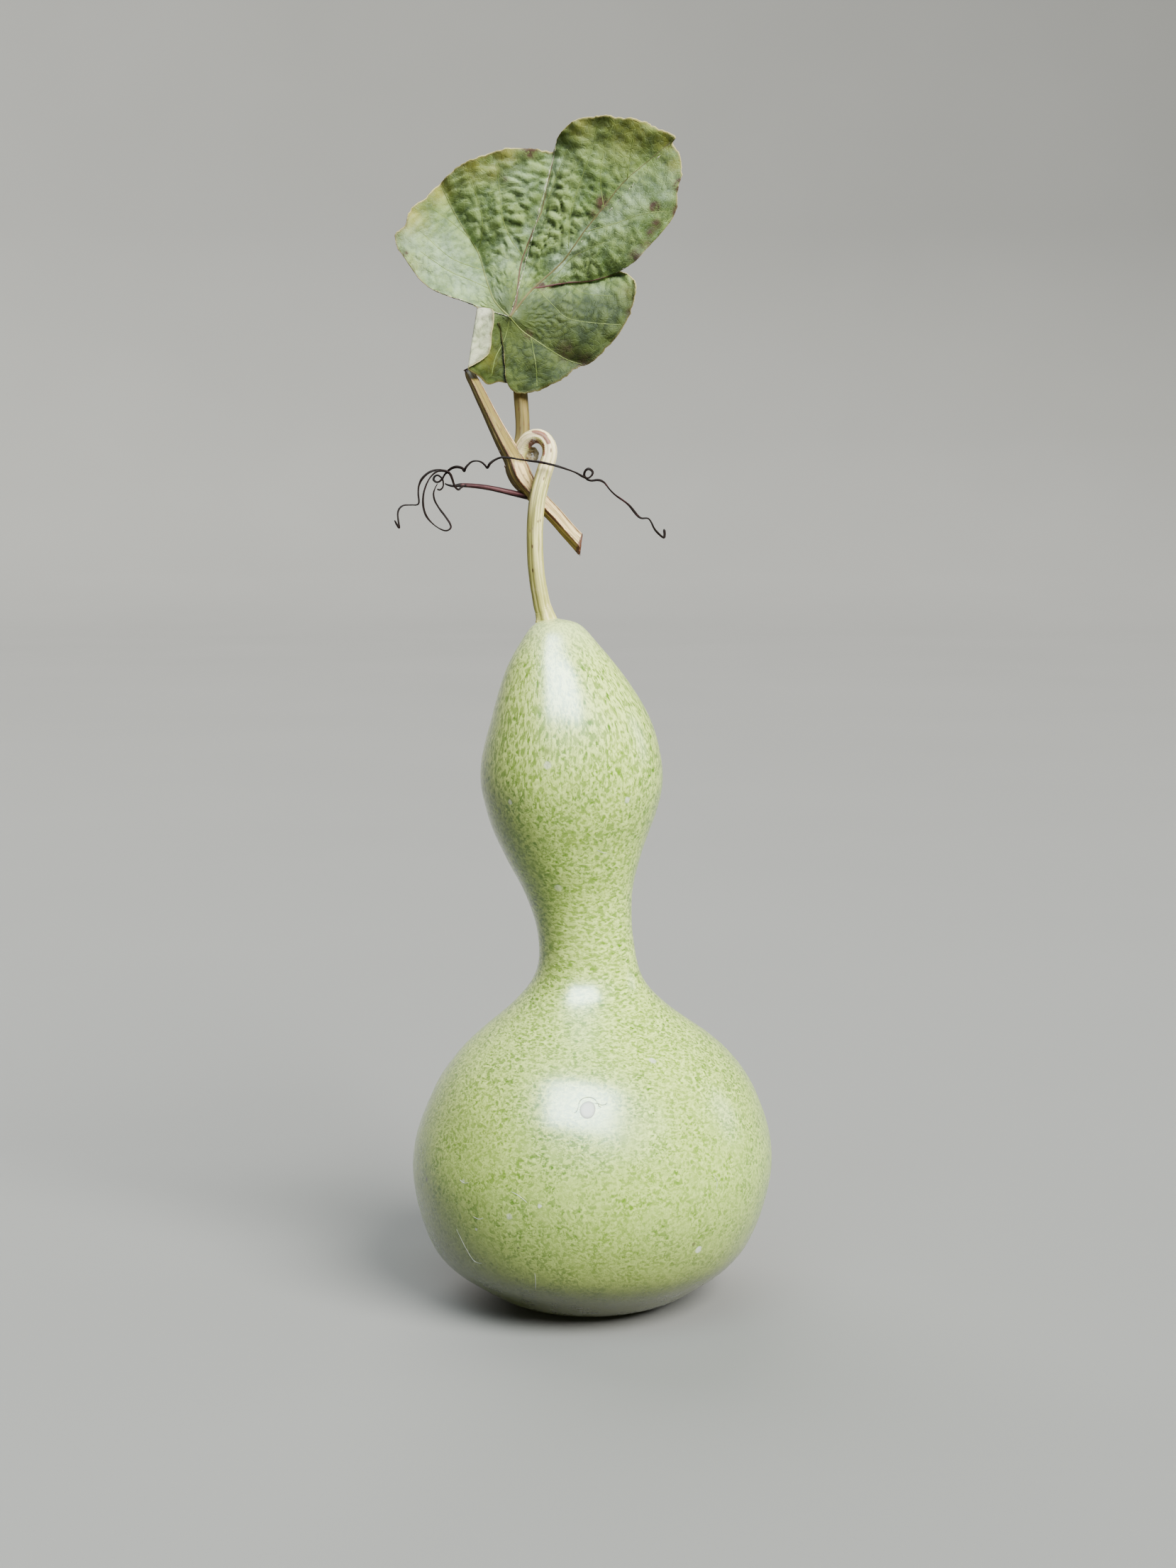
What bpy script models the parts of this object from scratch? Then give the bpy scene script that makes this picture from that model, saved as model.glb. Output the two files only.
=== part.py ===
"""A two-lobed bottle gourd that stands on its base, picked with a length of its vine.

The fruit hangs from a stalk that curls over the vine and joins it at a node. A leaf on its own
stalk, a side bud and a branched tendril grow from the same node.

Metres, +Z up. The origin is the middle of the flat that the fruit stands on, -Y is the front,
and the leaf's upper face looks that way. Lists of points are in millimetres.
"""

import math

import bmesh
import bpy
from mathutils import Vector, geometry

MM = 0.001
CLEARANCE = 0.3 * MM

# The fruit: radius and height up its outer side, from the rim of its flat to its crown.
FLAT_RADIUS = 30.0
BELLY_RADIUS = 90.0
BELLY_HEIGHT = 69.0
WAIST_RADIUS = 23.5
WAIST_HEIGHT = 183.0
HEAD_RADIUS = 44.8
HEAD_HEIGHT = 266.0
CROWN_HEIGHT = 341.0
FRUIT_PROFILE = [
    (0.0, 0.0),
    (FLAT_RADIUS, 0.0),
    (43.0, 3.2),
    (58.0, 11.0),
    (79.8, 31.0),
    (BELLY_RADIUS, BELLY_HEIGHT),
    (82.8, 100.5),
    (67.3, 124.5),
    (39.0, 148.0),
    (26.6, 163.5),
    (WAIST_RADIUS, WAIST_HEIGHT),
    (26.3, 204.0),
    (33.8, 224.0),
    (42.0, 246.0),
    (HEAD_RADIUS, HEAD_HEIGHT),
    (39.2, 291.0),
    (29.4, 313.0),
    (19.0, 329.0),
    (10.5, 338.5),
    (0.0, CROWN_HEIGHT),
]
# How far the fruit's middle stands off the Z axis towards +X, up its height.
FRUIT_LEAN = [(0.0, 0.0), (115.0, 2.0), (165.0, -1.2), (240.0, -9.2), (285.0, -9.2), (341.0, -16.0)]
FRUIT_SIDES = 44
PROFILE_STEPS = 2

# Stalks: points along the middle of each, with the radius there.
FRUIT_STALK = [
    (-20.6, 4.5, 331.0, 4.4),
    (-21.6, 4.5, 340.5, 4.6),
    (-24.0, 3.0, 349.0, 4.1),
    (-26.3, 0.0, 364.0, 3.9),
    (-26.6, -3.6, 382.0, 3.8),
    (-24.4, -5.4, 398.0, 3.6),
    (-20.6, -5.0, 414.5, 3.5),
    (-19.4, -4.0, 421.8, 3.3),
    (-21.2, -2.4, 427.4, 3.0),
    (-25.2, -0.6, 430.0, 2.8),
    (-29.6, 1.2, 429.4, 2.9),
    (-32.8, 2.8, 426.0, 3.0),
    (-35.2, 3.6, 421.5, 3.1),
    (-37.6, 3.8, 417.0, 3.0),
]
VINE = [
    (-59.0, 6.0, 460.4, 3.0),
    (-52.4, 5.0, 450.0, 3.5),
    (-44.6, 4.0, 434.0, 4.1),
    (-40.4, 3.5, 423.8, 4.6),
    (-37.6, 3.5, 415.4, 5.4),
    (-32.9, 3.5, 407.4, 4.8),
    (-27.0, 3.5, 400.8, 4.1),
    (-18.2, 3.5, 392.2, 3.9),
    (-5.2, 3.5, 377.6, 4.5),
]
LEAF_STALK = [
    (-37.2, 4.4, 414.4, 3.0),
    (-37.0, 12.0, 420.0, 3.6),
    (-34.2, 14.4, 431.0, 3.5),
    (-34.2, 14.8, 450.0, 3.6),
    (-36.0, 13.4, 466.0, 3.4),
    (-37.8, 11.8, 478.0, 3.2),
    (-38.8, 9.0, 485.0, 2.8),
    (-39.0, 6.4, 486.9, 2.2),
]
SIDE_BUD = [
    (-32.4, 5.4, 408.0, 1.2),
    (-31.8, 7.0, 415.0, 1.2),
    (-31.0, 7.2, 418.4, 1.9),
    (-29.4, 7.2, 420.4, 2.7),
    (-27.6, 7.0, 421.8, 2.0),
    (-26.6, 6.8, 422.4, 0.9),
]

# The tendril: one stalk, and the thin arms that it splits into.
TENDRIL_STALK = [
    (-28.4, 4.6, 399.8, 1.4),
    (-34.0, 3.0, 402.0, 1.3),
    (-46.6, 0.0, 404.5, 1.1),
    (-57.0, -2.2, 405.0, 0.95),
    (-66.7, -3.5, 405.2, 0.8),
]
ARM_RADIUS = 0.42
TIP_RADIUS = 0.28
TENDRIL_ARMS = {
    "right": [
        (-66.0, -3.5, 405.2),
        (-70.6, -3.4, 406.4),
        (-75.2, -1.8, 407.2),
        (-76.8, -1.4, 409.6),
        (-74.4, -2.8, 411.4),
        (-72.2, -4.6, 409.8),
        (-68.6, -6.6, 412.6),
        (-64.3, -8.4, 414.4),
        (-60.6, -9.8, 412.8),
        (-55.6, -10.6, 416.8),
        (-50.0, -11.6, 414.2),
        (-46.4, -12.4, 417.6),
        (-41.0, -12.8, 418.4),
        (-23.8, -13.0, 416.4),
        (-9.0, -12.5, 412.2),
        (-2.4, -12.0, 409.8),
        (1.2, -11.2, 411.0),
        (-0.8, -10.2, 413.4),
        (-2.8, -9.4, 410.2),
        (2.4, -8.8, 407.9),
        (9.6, -8.6, 403.0),
        (20.2, -7.0, 393.9),
        (26.4, -5.8, 390.2),
        (34.8, -4.2, 382.4),
        (36.8, -3.8, 380.6),
        (35.9, -3.4, 384.8),
    ],
    "loop": [
        (-66.0, -3.8, 405.0),
        (-64.6, -5.6, 404.0),
        (-65.6, -7.2, 407.0),
        (-69.2, -8.6, 412.0),
        (-73.6, -9.8, 412.4),
        (-79.4, -11.2, 406.0),
        (-80.6, -11.8, 398.2),
        (-77.4, -11.2, 388.0),
        (-71.2, -9.6, 384.0),
        (-67.4, -8.0, 385.2),
        (-71.4, -6.4, 392.0),
        (-75.4, -5.8, 399.6),
        (-75.2, -6.0, 404.0),
    ],
    "left": [
        (-68.4, -8.4, 411.2),
        (-73.0, -7.4, 413.6),
        (-79.2, -6.4, 410.8),
        (-82.8, -6.0, 405.0),
        (-83.2, -6.0, 397.8),
        (-90.4, -7.2, 395.9),
        (-92.8, -8.6, 391.0),
        (-92.8, -9.4, 385.4),
        (-94.5, -10.0, 388.6),
    ],
    "curl": [
        (-69.8, -3.5, 406.2),
        (-71.2, -2.4, 404.3),
        (-73.4, -1.4, 403.0),
        (-74.8, -0.6, 404.4),
    ],
}

# The leaf: its rim seen from the front, round from the right edge of its sinus, as places across
# and up from where its stalk joins. Its main veins run from the same place.
LEAF_JOINT = Vector((-39.0, 5.0, 486.6))
LEAF_THICKNESS = 0.8
LEAF_RIM = [
    (3, -34), (14, -36), (26, -31), (34, -24), (48, -13), (57, 0), (60, 12), (53, 22), (61, 28), (76, 43),
    (82, 62), (79, 84), (64, 91), (46, 94), (35, 93), (27, 89), (21, 79), (6, 80), (-10, 76), (-33, 65),
    (-49, 44), (-55, 36), (-49, 21), (-37, 13), (-24, 7), (-16, 3), (-15, -5), (-18, -14), (-18, -26),
    (-8, -31), (-1, -33),
]  # fmt: skip
LEAF_VEINS = [
    ([(0, 0), (-9, 14), (-16, 32), (-24, 48), (-33, 65)], 8.0),
    ([(0, 0), (5, 22), (12, 43), (22, 80)], 6.0),
    ([(0, 0), (11, 15), (29, 35), (57, 66), (79, 84)], 9.0),
    ([(0, 0), (11, 15), (19, 17), (31, 19), (53, 22)], 8.0),
]
VEIN_REACH = 13.0
LEAF_LEAN = 0.16
RIM_STEPS = 3
LEAF_RINGS = 9


def material(name, colour, roughness):
    made = bpy.data.materials.new(name)
    made.use_nodes = True
    shader = made.node_tree.nodes["Principled BSDF"]
    shader.inputs["Base Color"].default_value = (*colour, 1.0)
    shader.inputs["Roughness"].default_value = roughness
    shader.inputs["Metallic"].default_value = 0.0
    return made


def smooth_curve(points, steps):
    """Points along a smooth curve through the given ones, with so many steps between each two."""
    points = [Vector(p) for p in points]
    before = points[:1] + points[:-1]
    after = points[1:] + points[-1:]
    handles = [(b - a) / 6 for a, b in zip(before, after)]
    curve = []
    for i in range(len(points) - 1):
        start, end = points[i], points[i + 1]
        curve += geometry.interpolate_bezier(
            start, start + handles[i], end - handles[i + 1], end, steps + 1
        )[:-1]
    return curve + [points[-1]]


def height_curve(stations, height):
    """The value at a height, eased between the stations on either side of it."""
    for (low, first), (high, second) in zip(stations, stations[1:]):
        if height <= high:
            share = max(0.0, (height - low) / (high - low))
            return first + (second - first) * share * share * (3 - 2 * share)
    return stations[-1][1]


def collection(name):
    made = bpy.data.collections.new(name)
    bpy.context.scene.collection.children.link(made)
    return made


def add_mesh(name, bm, where, finish=None):
    mesh = bpy.data.meshes.new(name)
    bm.to_mesh(mesh)
    bm.free()
    mesh.shade_smooth()
    made = bpy.data.objects.new(name, mesh)
    where.objects.link(made)
    if finish:
        mesh.materials.append(finish)
    return made


def as_cutter(made):
    made.hide_render = True
    made.display_type = "WIRE"
    return made


def cut(target, *cutters):
    for cutter in cutters:
        modifier = target.modifiers.new("clear_of_" + cutter.name, "BOOLEAN")
        modifier.operation = "DIFFERENCE"
        modifier.object = cutter


def fruit(name, where, finish=None, grow=0.0):
    """The fruit, turned from its profile and then leant, with its skin moved out by grow."""
    bm = bmesh.new()
    profile = smooth_curve([(r, 0, z) for r, z in FRUIT_PROFILE[1:]], PROFILE_STEPS)
    points = [Vector((0, 0, 0))] + profile
    verts = [bm.verts.new(p * MM) for p in points]
    edges = [bm.edges.new(pair) for pair in zip(verts, verts[1:])]
    bmesh.ops.spin(
        bm,
        geom=verts + edges,
        cent=(0, 0, 0),
        axis=(0, 0, 1),
        angle=2 * math.pi,
        steps=FRUIT_SIDES,
        use_merge=True,
    )
    bmesh.ops.remove_doubles(bm, verts=bm.verts, dist=0.01 * MM)
    for vert in bm.verts:
        vert.co.x += height_curve(FRUIT_LEAN, vert.co.z / MM) * MM
    bmesh.ops.recalc_face_normals(bm, faces=bm.faces)
    bm.normal_update()
    for vert, normal in [(v, v.normal.copy()) for v in bm.verts]:
        vert.co += normal * grow
    return add_mesh(name, bm, where, finish)


def tube(name, route, where, finish=None, steps=3, sides=2, grow=0.0):
    """A round stem along a route of points and radii. The curve is made a mesh, so that it can be cut."""
    middle = smooth_curve([p[:3] for p in route], steps)
    radii = smooth_curve([(p[3], 0, 0) for p in route], steps)
    data = bpy.data.curves.new(name + "_route", "CURVE")
    data.dimensions = "3D"
    data.bevel_depth = MM
    data.bevel_resolution = sides
    data.use_fill_caps = True
    spline = data.splines.new("POLY")
    spline.points.add(len(middle) - 1)
    for point, place, radius in zip(spline.points, middle, radii):
        point.co = (*(place * MM), 1.0)
        point.radius = radius.x + grow / MM
    guide = bpy.data.objects.new(name + "_route", data)
    where.objects.link(guide)
    bpy.context.view_layer.update()
    mesh = bpy.data.meshes.new_from_object(guide.evaluated_get(bpy.context.evaluated_depsgraph_get()))
    bm = bmesh.new()
    bm.from_mesh(mesh)
    bmesh.ops.remove_doubles(bm, verts=bm.verts, dist=0.01 * MM)
    bmesh.ops.recalc_face_normals(bm, faces=bm.faces)
    made = add_mesh(name, bm, where, finish)
    made.matrix_world = guide.matrix_world
    bpy.data.meshes.remove(mesh)
    bpy.data.objects.remove(guide)
    return made


def distance_to_line(place, line):
    """How far a place is from a line of points."""
    nearest = []
    for start, end in zip(line, line[1:]):
        foot, share = geometry.intersect_point_line(place, start, end)
        foot = start if share < 0 else end if share > 1 else foot
        nearest.append((place - foot).length)
    return min(nearest)


def leaf_depth(across, up):
    """How far back the leaf lies at a place: it leans back, is cupped, and is creased at its main veins."""
    place = Vector((across, up, 0))
    out = place.length
    depth = LEAF_LEAN * up - 0.0016 * out * out
    for line, crease in LEAF_VEINS:
        away = distance_to_line(place, [Vector((x, z, 0)) for x, z in line])
        depth += crease * min(1.0, out / 40.0) * math.exp(-away / VEIN_REACH)
    top_curl = max(0.0, up - 70.0) / 24.0
    bottom_curl = max(0.0, -up - 12.0) / 24.0
    return depth - 5.0 * top_curl * top_curl + 5.0 * bottom_curl * bottom_curl


def leaf(name, where, finish=None, grow=0.0):
    """The leaf blade: rings from its joint out to its rim, bent into shape and given a thickness."""
    bm = bmesh.new()
    rim = smooth_curve([(x, z, 0) for x, z in LEAF_RIM], RIM_STEPS)
    bmesh.ops.create_grid(bm, x_segments=len(rim) - 1, y_segments=LEAF_RINGS, size=0.5)
    for vert in bm.verts:
        edge = rim[round((vert.co.x + 0.5) * (len(rim) - 1))]
        across, up, _ = edge * (vert.co.y + 0.5)
        place = LEAF_JOINT + Vector((across, leaf_depth(across, up), up))
        vert.co = place * MM
    bmesh.ops.remove_doubles(bm, verts=bm.verts, dist=0.01 * MM)
    bmesh.ops.recalc_face_normals(bm, faces=bm.faces)
    made = add_mesh(name, bm, where, finish)
    shell = made.modifiers.new("thickness", "SOLIDIFY")
    shell.thickness = LEAF_THICKNESS * MM + 2 * grow
    shell.offset = 0.0
    return made


def tendril(where, cutters, finish):
    """The tendril's stalk, with its arms joined to it."""
    made = tube("tendril", TENDRIL_STALK, where, finish, steps=3, sides=1)
    for arm, line in TENDRIL_ARMS.items():
        radii = [ARM_RADIUS] * (len(line) - 2) + [(ARM_RADIUS + TIP_RADIUS) / 2, TIP_RADIUS]
        route = [(*point, radius) for point, radius in zip(line, radii)]
        other = as_cutter(tube("tendril_arm_" + arm, route, cutters, steps=3, sides=0))
        join = made.modifiers.new("arm_" + arm, "BOOLEAN")
        join.operation = "UNION"
        join.object = other
    return made


def build():
    for old in list(bpy.data.objects):
        bpy.data.objects.remove(old)
    parts = collection("bottle_gourd")
    cutters = collection("cutters")

    skin = material("gourd_skin", (0.42, 0.56, 0.24), 0.3)
    stem = material("stem_skin", (0.56, 0.50, 0.25), 0.6)
    bark = material("vine_skin", (0.60, 0.50, 0.27), 0.65)
    blade = material("leaf_face", (0.23, 0.32, 0.12), 0.7)
    wiry = material("tendril_skin", (0.07, 0.035, 0.035), 0.5)
    felt = material("bud_felt", (0.50, 0.42, 0.24), 0.9)

    fruit_clear = as_cutter(fruit("fruit_clearance", cutters, grow=CLEARANCE))
    vine_clear = as_cutter(tube("vine_clearance", VINE, cutters, grow=CLEARANCE))
    leaf_clear = as_cutter(leaf("leaf_clearance", cutters, grow=CLEARANCE))

    fruit("gourd_fruit", parts, skin)
    tube("vine_stem", VINE, parts, bark)
    fruit_stalk = tube("fruit_stalk", FRUIT_STALK, parts, stem)
    leaf_stalk = tube("leaf_stalk", LEAF_STALK, parts, stem)
    leaf("leaf_blade", parts, blade)
    bud = tube("side_bud", SIDE_BUD, parts, felt, steps=2)
    wires = tendril(parts, cutters, wiry)

    cut(fruit_stalk, fruit_clear, vine_clear)
    cut(leaf_stalk, vine_clear, leaf_clear)
    cut(bud, vine_clear)
    cut(wires, vine_clear)


build()
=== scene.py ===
import math
import random

import bmesh
import bpy
from mathutils import Euler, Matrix, Vector, geometry, noise
from mathutils.bvhtree import BVHTree


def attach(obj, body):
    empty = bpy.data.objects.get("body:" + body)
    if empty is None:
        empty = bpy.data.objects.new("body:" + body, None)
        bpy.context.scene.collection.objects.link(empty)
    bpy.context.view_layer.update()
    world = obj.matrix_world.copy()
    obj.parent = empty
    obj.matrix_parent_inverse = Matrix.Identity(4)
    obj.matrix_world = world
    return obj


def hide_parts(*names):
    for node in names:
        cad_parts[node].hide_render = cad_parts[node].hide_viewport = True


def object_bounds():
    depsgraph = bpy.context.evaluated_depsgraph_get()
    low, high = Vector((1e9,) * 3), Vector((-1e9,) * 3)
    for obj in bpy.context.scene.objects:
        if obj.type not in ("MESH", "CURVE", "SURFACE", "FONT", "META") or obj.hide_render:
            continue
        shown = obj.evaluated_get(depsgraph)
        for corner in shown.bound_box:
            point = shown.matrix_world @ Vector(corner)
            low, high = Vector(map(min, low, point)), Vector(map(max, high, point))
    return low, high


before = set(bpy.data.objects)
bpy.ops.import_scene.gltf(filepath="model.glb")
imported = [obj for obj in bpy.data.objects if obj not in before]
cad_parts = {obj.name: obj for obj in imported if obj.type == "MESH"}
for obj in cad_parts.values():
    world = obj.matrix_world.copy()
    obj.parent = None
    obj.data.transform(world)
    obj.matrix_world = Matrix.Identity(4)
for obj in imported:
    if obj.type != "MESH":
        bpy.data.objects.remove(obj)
cad_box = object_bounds()

# ------------------------------------------------------------------------------------------------
# The studio: a pale paper floor that curves up far away, a window light that shows in the gloss,
# a small one at the right, and wide soft light from the front right and, weaker, from behind.
# ------------------------------------------------------------------------------------------------
MM = 0.001
WHOLE_MIDDLE = Vector((0.0, 0.0, cad_box[1][2] / 2))


def node(finish, kind, sockets=None, **settings):
    """A shader node. A socket is given a number, a colour or another node's output."""
    made = finish.node_tree.nodes.new("ShaderNode" + kind)
    for name, value in settings.items():
        setattr(made, name, value)
    for name, value in (sockets or {}).items():
        if isinstance(value, bpy.types.NodeSocket):
            finish.node_tree.links.new(value, made.inputs[name])
        else:
            made.inputs[name].default_value = value
    return made


def new_finish(name, roughness, **constants):
    """A material with its Principled shader, whose plain numbers are set on its own sockets."""
    finish = bpy.data.materials.new(name)
    finish.use_nodes = True
    shader = finish.node_tree.nodes["Principled BSDF"]
    shader.inputs["Roughness"].default_value = roughness
    for socket, value in constants.items():
        shader.inputs[socket.replace("_", " ")].default_value = value
    return finish, shader


def mixed(finish, share, first, second, blend="MIX"):
    """Two colours mixed by a share of the second."""
    mix = finish.node_tree.nodes.new("ShaderNodeMix")
    mix.data_type = "RGBA"
    mix.blend_type = blend
    for socket, value in ((0, share), (6, first), (7, second)):
        if isinstance(value, bpy.types.NodeSocket):
            finish.node_tree.links.new(value, mix.inputs[socket])
        else:
            mix.inputs[socket].default_value = value if socket == 0 else (*value, 1.0)
    return mix.outputs[2]


def eased(finish, value, low, high, start=0.0, end=1.0):
    """Start below low, end above high, and an eased step between."""
    sockets = {"Value": value, "From Min": low, "From Max": high, "To Min": start, "To Max": end}
    return node(finish, "MapRange", sockets, interpolation_type="SMOOTHSTEP").outputs["Result"]


def maths(finish, operation, first, second=0.0):
    """One sum of two numbers, either of which may be another node's output."""
    made = finish.node_tree.nodes.new("ShaderNodeMath")
    made.operation = operation
    for socket, value in zip(made.inputs, (first, second)):
        if isinstance(value, bpy.types.NodeSocket):
            finish.node_tree.links.new(value, socket)
        else:
            socket.default_value = value
    return made.outputs[0]


def times(finish, first, second):
    return maths(finish, "MULTIPLY", first, second)


def plus(finish, first, second):
    return maths(finish, "ADD", first, second)


def cloud(finish, vector, scale, detail=2.0, roughness=0.5):
    """A soft noise, about 0.3 to 0.7, whose scale is in lumps to the metre."""
    sockets = {"Vector": vector, "Scale": scale, "Detail": detail, "Roughness": roughness}
    return node(finish, "TexNoise", sockets).outputs["Fac"]


def wire(finish, output, socket):
    finish.node_tree.links.new(output, socket)


# The floor's outline in metres: level from the middle, then curved up into a far wall.
COVE = [(0, 0, 0), (8, 0, 0), (9, 0, 0.2), (9.7, 0, 0.8), (10, 0, 1.8), (10, 0, 5)]
floor_bm = bmesh.new()
cove = [floor_bm.verts.new(place) for place in COVE]
bmesh.ops.spin(
    floor_bm,
    geom=cove + [floor_bm.edges.new(pair) for pair in zip(cove, cove[1:])],
    cent=(0, 0, 0),
    axis=(0, 0, 1),
    angle=2 * math.pi,
    steps=96,
    use_merge=True,
)
bmesh.ops.remove_doubles(floor_bm, verts=floor_bm.verts, dist=0.001)
bmesh.ops.recalc_face_normals(floor_bm, faces=floor_bm.faces)
bmesh.ops.reverse_faces(floor_bm, faces=floor_bm.faces)
floor_mesh = bpy.data.meshes.new("floor")
floor_bm.to_mesh(floor_mesh)
floor_bm.free()
floor_mesh.shade_smooth()
floor = bpy.data.objects.new("floor", floor_mesh)
bpy.context.scene.collection.objects.link(floor)
paper_finish, paper_shader = new_finish("floor_paper", 0.85)
floor_mesh.materials.append(paper_finish)
floor_place = node(paper_finish, "TexCoord").outputs["Object"]
floor_tone = cloud(paper_finish, floor_place, 1.3, 3.0)
wire(
    paper_finish,
    mixed(paper_finish, floor_tone, (0.175, 0.172, 0.164), (0.195, 0.191, 0.183)),
    paper_shader.inputs["Base Color"],
)
floor.visible_diffuse = False

world = bpy.data.worlds.new("studio_air")
bpy.context.scene.world = world
world.use_nodes = True
air = world.node_tree.nodes["Background"].inputs
air["Color"].default_value = (0.55, 0.56, 0.55, 1.0)
air["Strength"].default_value = 0.21


def soft_light(name, azimuth, elevation, distance, width, height, power, colour, matt=True):
    """A softbox that faces the gourd's middle. Azimuth 0 is the front, and positive is to the right."""
    data = bpy.data.lights.new(name, "AREA")
    data.shape = "RECTANGLE"
    data.size = width
    data.size_y = height
    data.energy = power
    data.color = colour
    made = bpy.data.objects.new(name, data)
    made.visible_diffuse = matt
    bpy.context.scene.collection.objects.link(made)
    turn, rise = math.radians(azimuth), math.radians(elevation)
    away = Vector((math.sin(turn) * math.cos(rise), -math.cos(turn) * math.cos(rise), math.sin(rise)))
    made.location = WHOLE_MIDDLE + away * distance
    made.rotation_euler = (-away).to_track_quat("-Z", "Y").to_euler()


def wide_light(name, way, strength, spread, colour):
    """Soft light from one side of the sky, which travels the given way and isn't seen in the gloss."""
    data = bpy.data.lights.new(name, "SUN")
    data.energy = strength
    data.angle = math.radians(spread)
    data.color = colour
    made = bpy.data.objects.new(name, data)
    made.rotation_euler = Vector(way).to_track_quat("-Z", "Y").to_euler()
    made.visible_glossy = False
    bpy.context.scene.collection.objects.link(made)


soft_light("window_light", -12, 53, 3.0, 2.4, 1.8, 800.0, (0.76, 0.95, 1.0), matt=False)
soft_light("side_light", 106, 16, 2.4, 0.7, 0.8, 12.0, (0.90, 0.97, 1.0))
wide_light("sky_light", (-0.48, 0.62, -0.62), 12.5, 34.0, (0.98, 1.0, 0.955))
wide_light("back_light", (0.30, -0.72, -0.62), 4.5, 60.0, (1.0, 1.0, 0.98))

CAMERA_TILT = math.radians(6.4)
camera_data = bpy.data.cameras.new("camera")
camera_data.lens = 52.0
camera_data.sensor_width = 36.0
camera = bpy.data.objects.new("camera", camera_data)
camera.location = (-0.001, -1.110, 0.384)
camera.rotation_euler = Euler((math.radians(90.0) - CAMERA_TILT, 0.0, 0.0))
bpy.context.scene.collection.objects.link(camera)
bpy.context.scene.camera = camera

# ------------------------------------------------------------------------------------------------
# The fruit: one rind, turned from its outline and leant a little. It grew as one piece. Its waxy
# green skin carries a net of paler threads, drawn out near the crown and squeezed at the waist.
# ------------------------------------------------------------------------------------------------
CROWN_HEIGHT = 341.0
FRUIT_PROFILE = [
    (0.0, 1.6),
    (3.2, 1.2),
    (5.0, 2.4),
    (11.0, 1.6),
    (22.0, 0.3),
    (30.0, 0.0),
    (43.0, 3.2),
    (58.0, 11.0),
    (79.8, 31.0),
    (90.0, 69.0),
    (82.8, 100.5),
    (67.3, 124.5),
    (39.0, 148.0),
    (26.6, 163.5),
    (23.5, 183.0),
    (26.3, 204.0),
    (33.8, 224.0),
    (42.0, 246.0),
    (44.8, 266.0),
    (39.2, 291.0),
    (29.4, 313.0),
    (19.0, 329.0),
    (10.5, 338.5),
    (0.0, CROWN_HEIGHT),
]
FRUIT_LEAN = [(0.0, 0.0), (115.0, 2.0), (165.0, -1.2), (240.0, -9.2), (285.0, -9.2), (341.0, -16.0)]
FRUIT_SIDES = 288
# How close the threads of the net lie, around the fruit and up it, against their spacing mid-belly.
THREADS_AROUND = [(0, 0.9), (70, 1.0), (130, 0.85), (183, 0.62), (225, 0.85), (280, 1.1), (341, 1.4)]
THREADS_UP = [
    (0, 0.9), (70, 1.0), (130, 1.0), (183, 1.25), (225, 0.95), (265, 0.62), (300, 0.40), (341, 0.32),
]  # fmt: skip
# How clear the net is at each share of the fruit's height: it fades to a cloudy bloom down the belly.
NET_CLEARNESS = [
    (0.12, 0.7), (0.24, 0.8), (0.36, 1.0), (0.46, 1.0), (0.58, 1.0), (0.7, 0.85), (0.80, 1.0),
    (0.9, 1.35),
]  # fmt: skip
CLEARNESS_AT_FOOT = 0.35
# How far, in millimetres, the net's threads and the outlines of the marks wander from their cells.
THREAD_WANDER = 2.6
MARK_WANDER = 1.4


def smooth_curve(points, steps):
    """Points along a smooth curve through the given ones, with so many steps between each two."""
    points = [Vector(p) for p in points]
    before = points[:1] + points[:-1]
    after = points[1:] + points[-1:]
    handles = [(b - a) / 6 for a, b in zip(before, after)]
    curve = []
    for i in range(len(points) - 1):
        start, end = points[i], points[i + 1]
        curve += geometry.interpolate_bezier(
            start, start + handles[i], end - handles[i + 1], end, steps + 1
        )[:-1]
    return curve + [points[-1]]


def station_value(stations, place):
    """The value at a place along a list of (place, value) stations, eased between two of them."""
    for (low, first), (high, second) in zip(stations, stations[1:]):
        if place <= high:
            share = max(0.0, (place - low) / (high - low))
            return first + (second - first) * share * share * (3 - 2 * share)
    return stations[-1][1]


def add_piece(name, bm, finishes, slot, *nodes):
    """A finished mesh becomes a smooth piece that rides on the gourd and stands for its CAD nodes."""
    mesh = bpy.data.meshes.new(name)
    bm.to_mesh(mesh)
    bm.free()
    mesh.shade_smooth()
    for finish in finishes:
        mesh.materials.append(finish)
    piece = bpy.data.objects.new(name, mesh)
    bpy.context.scene.collection.objects.link(piece)
    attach(piece, "root")
    if nodes:
        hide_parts(*nodes)
    return piece


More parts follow.
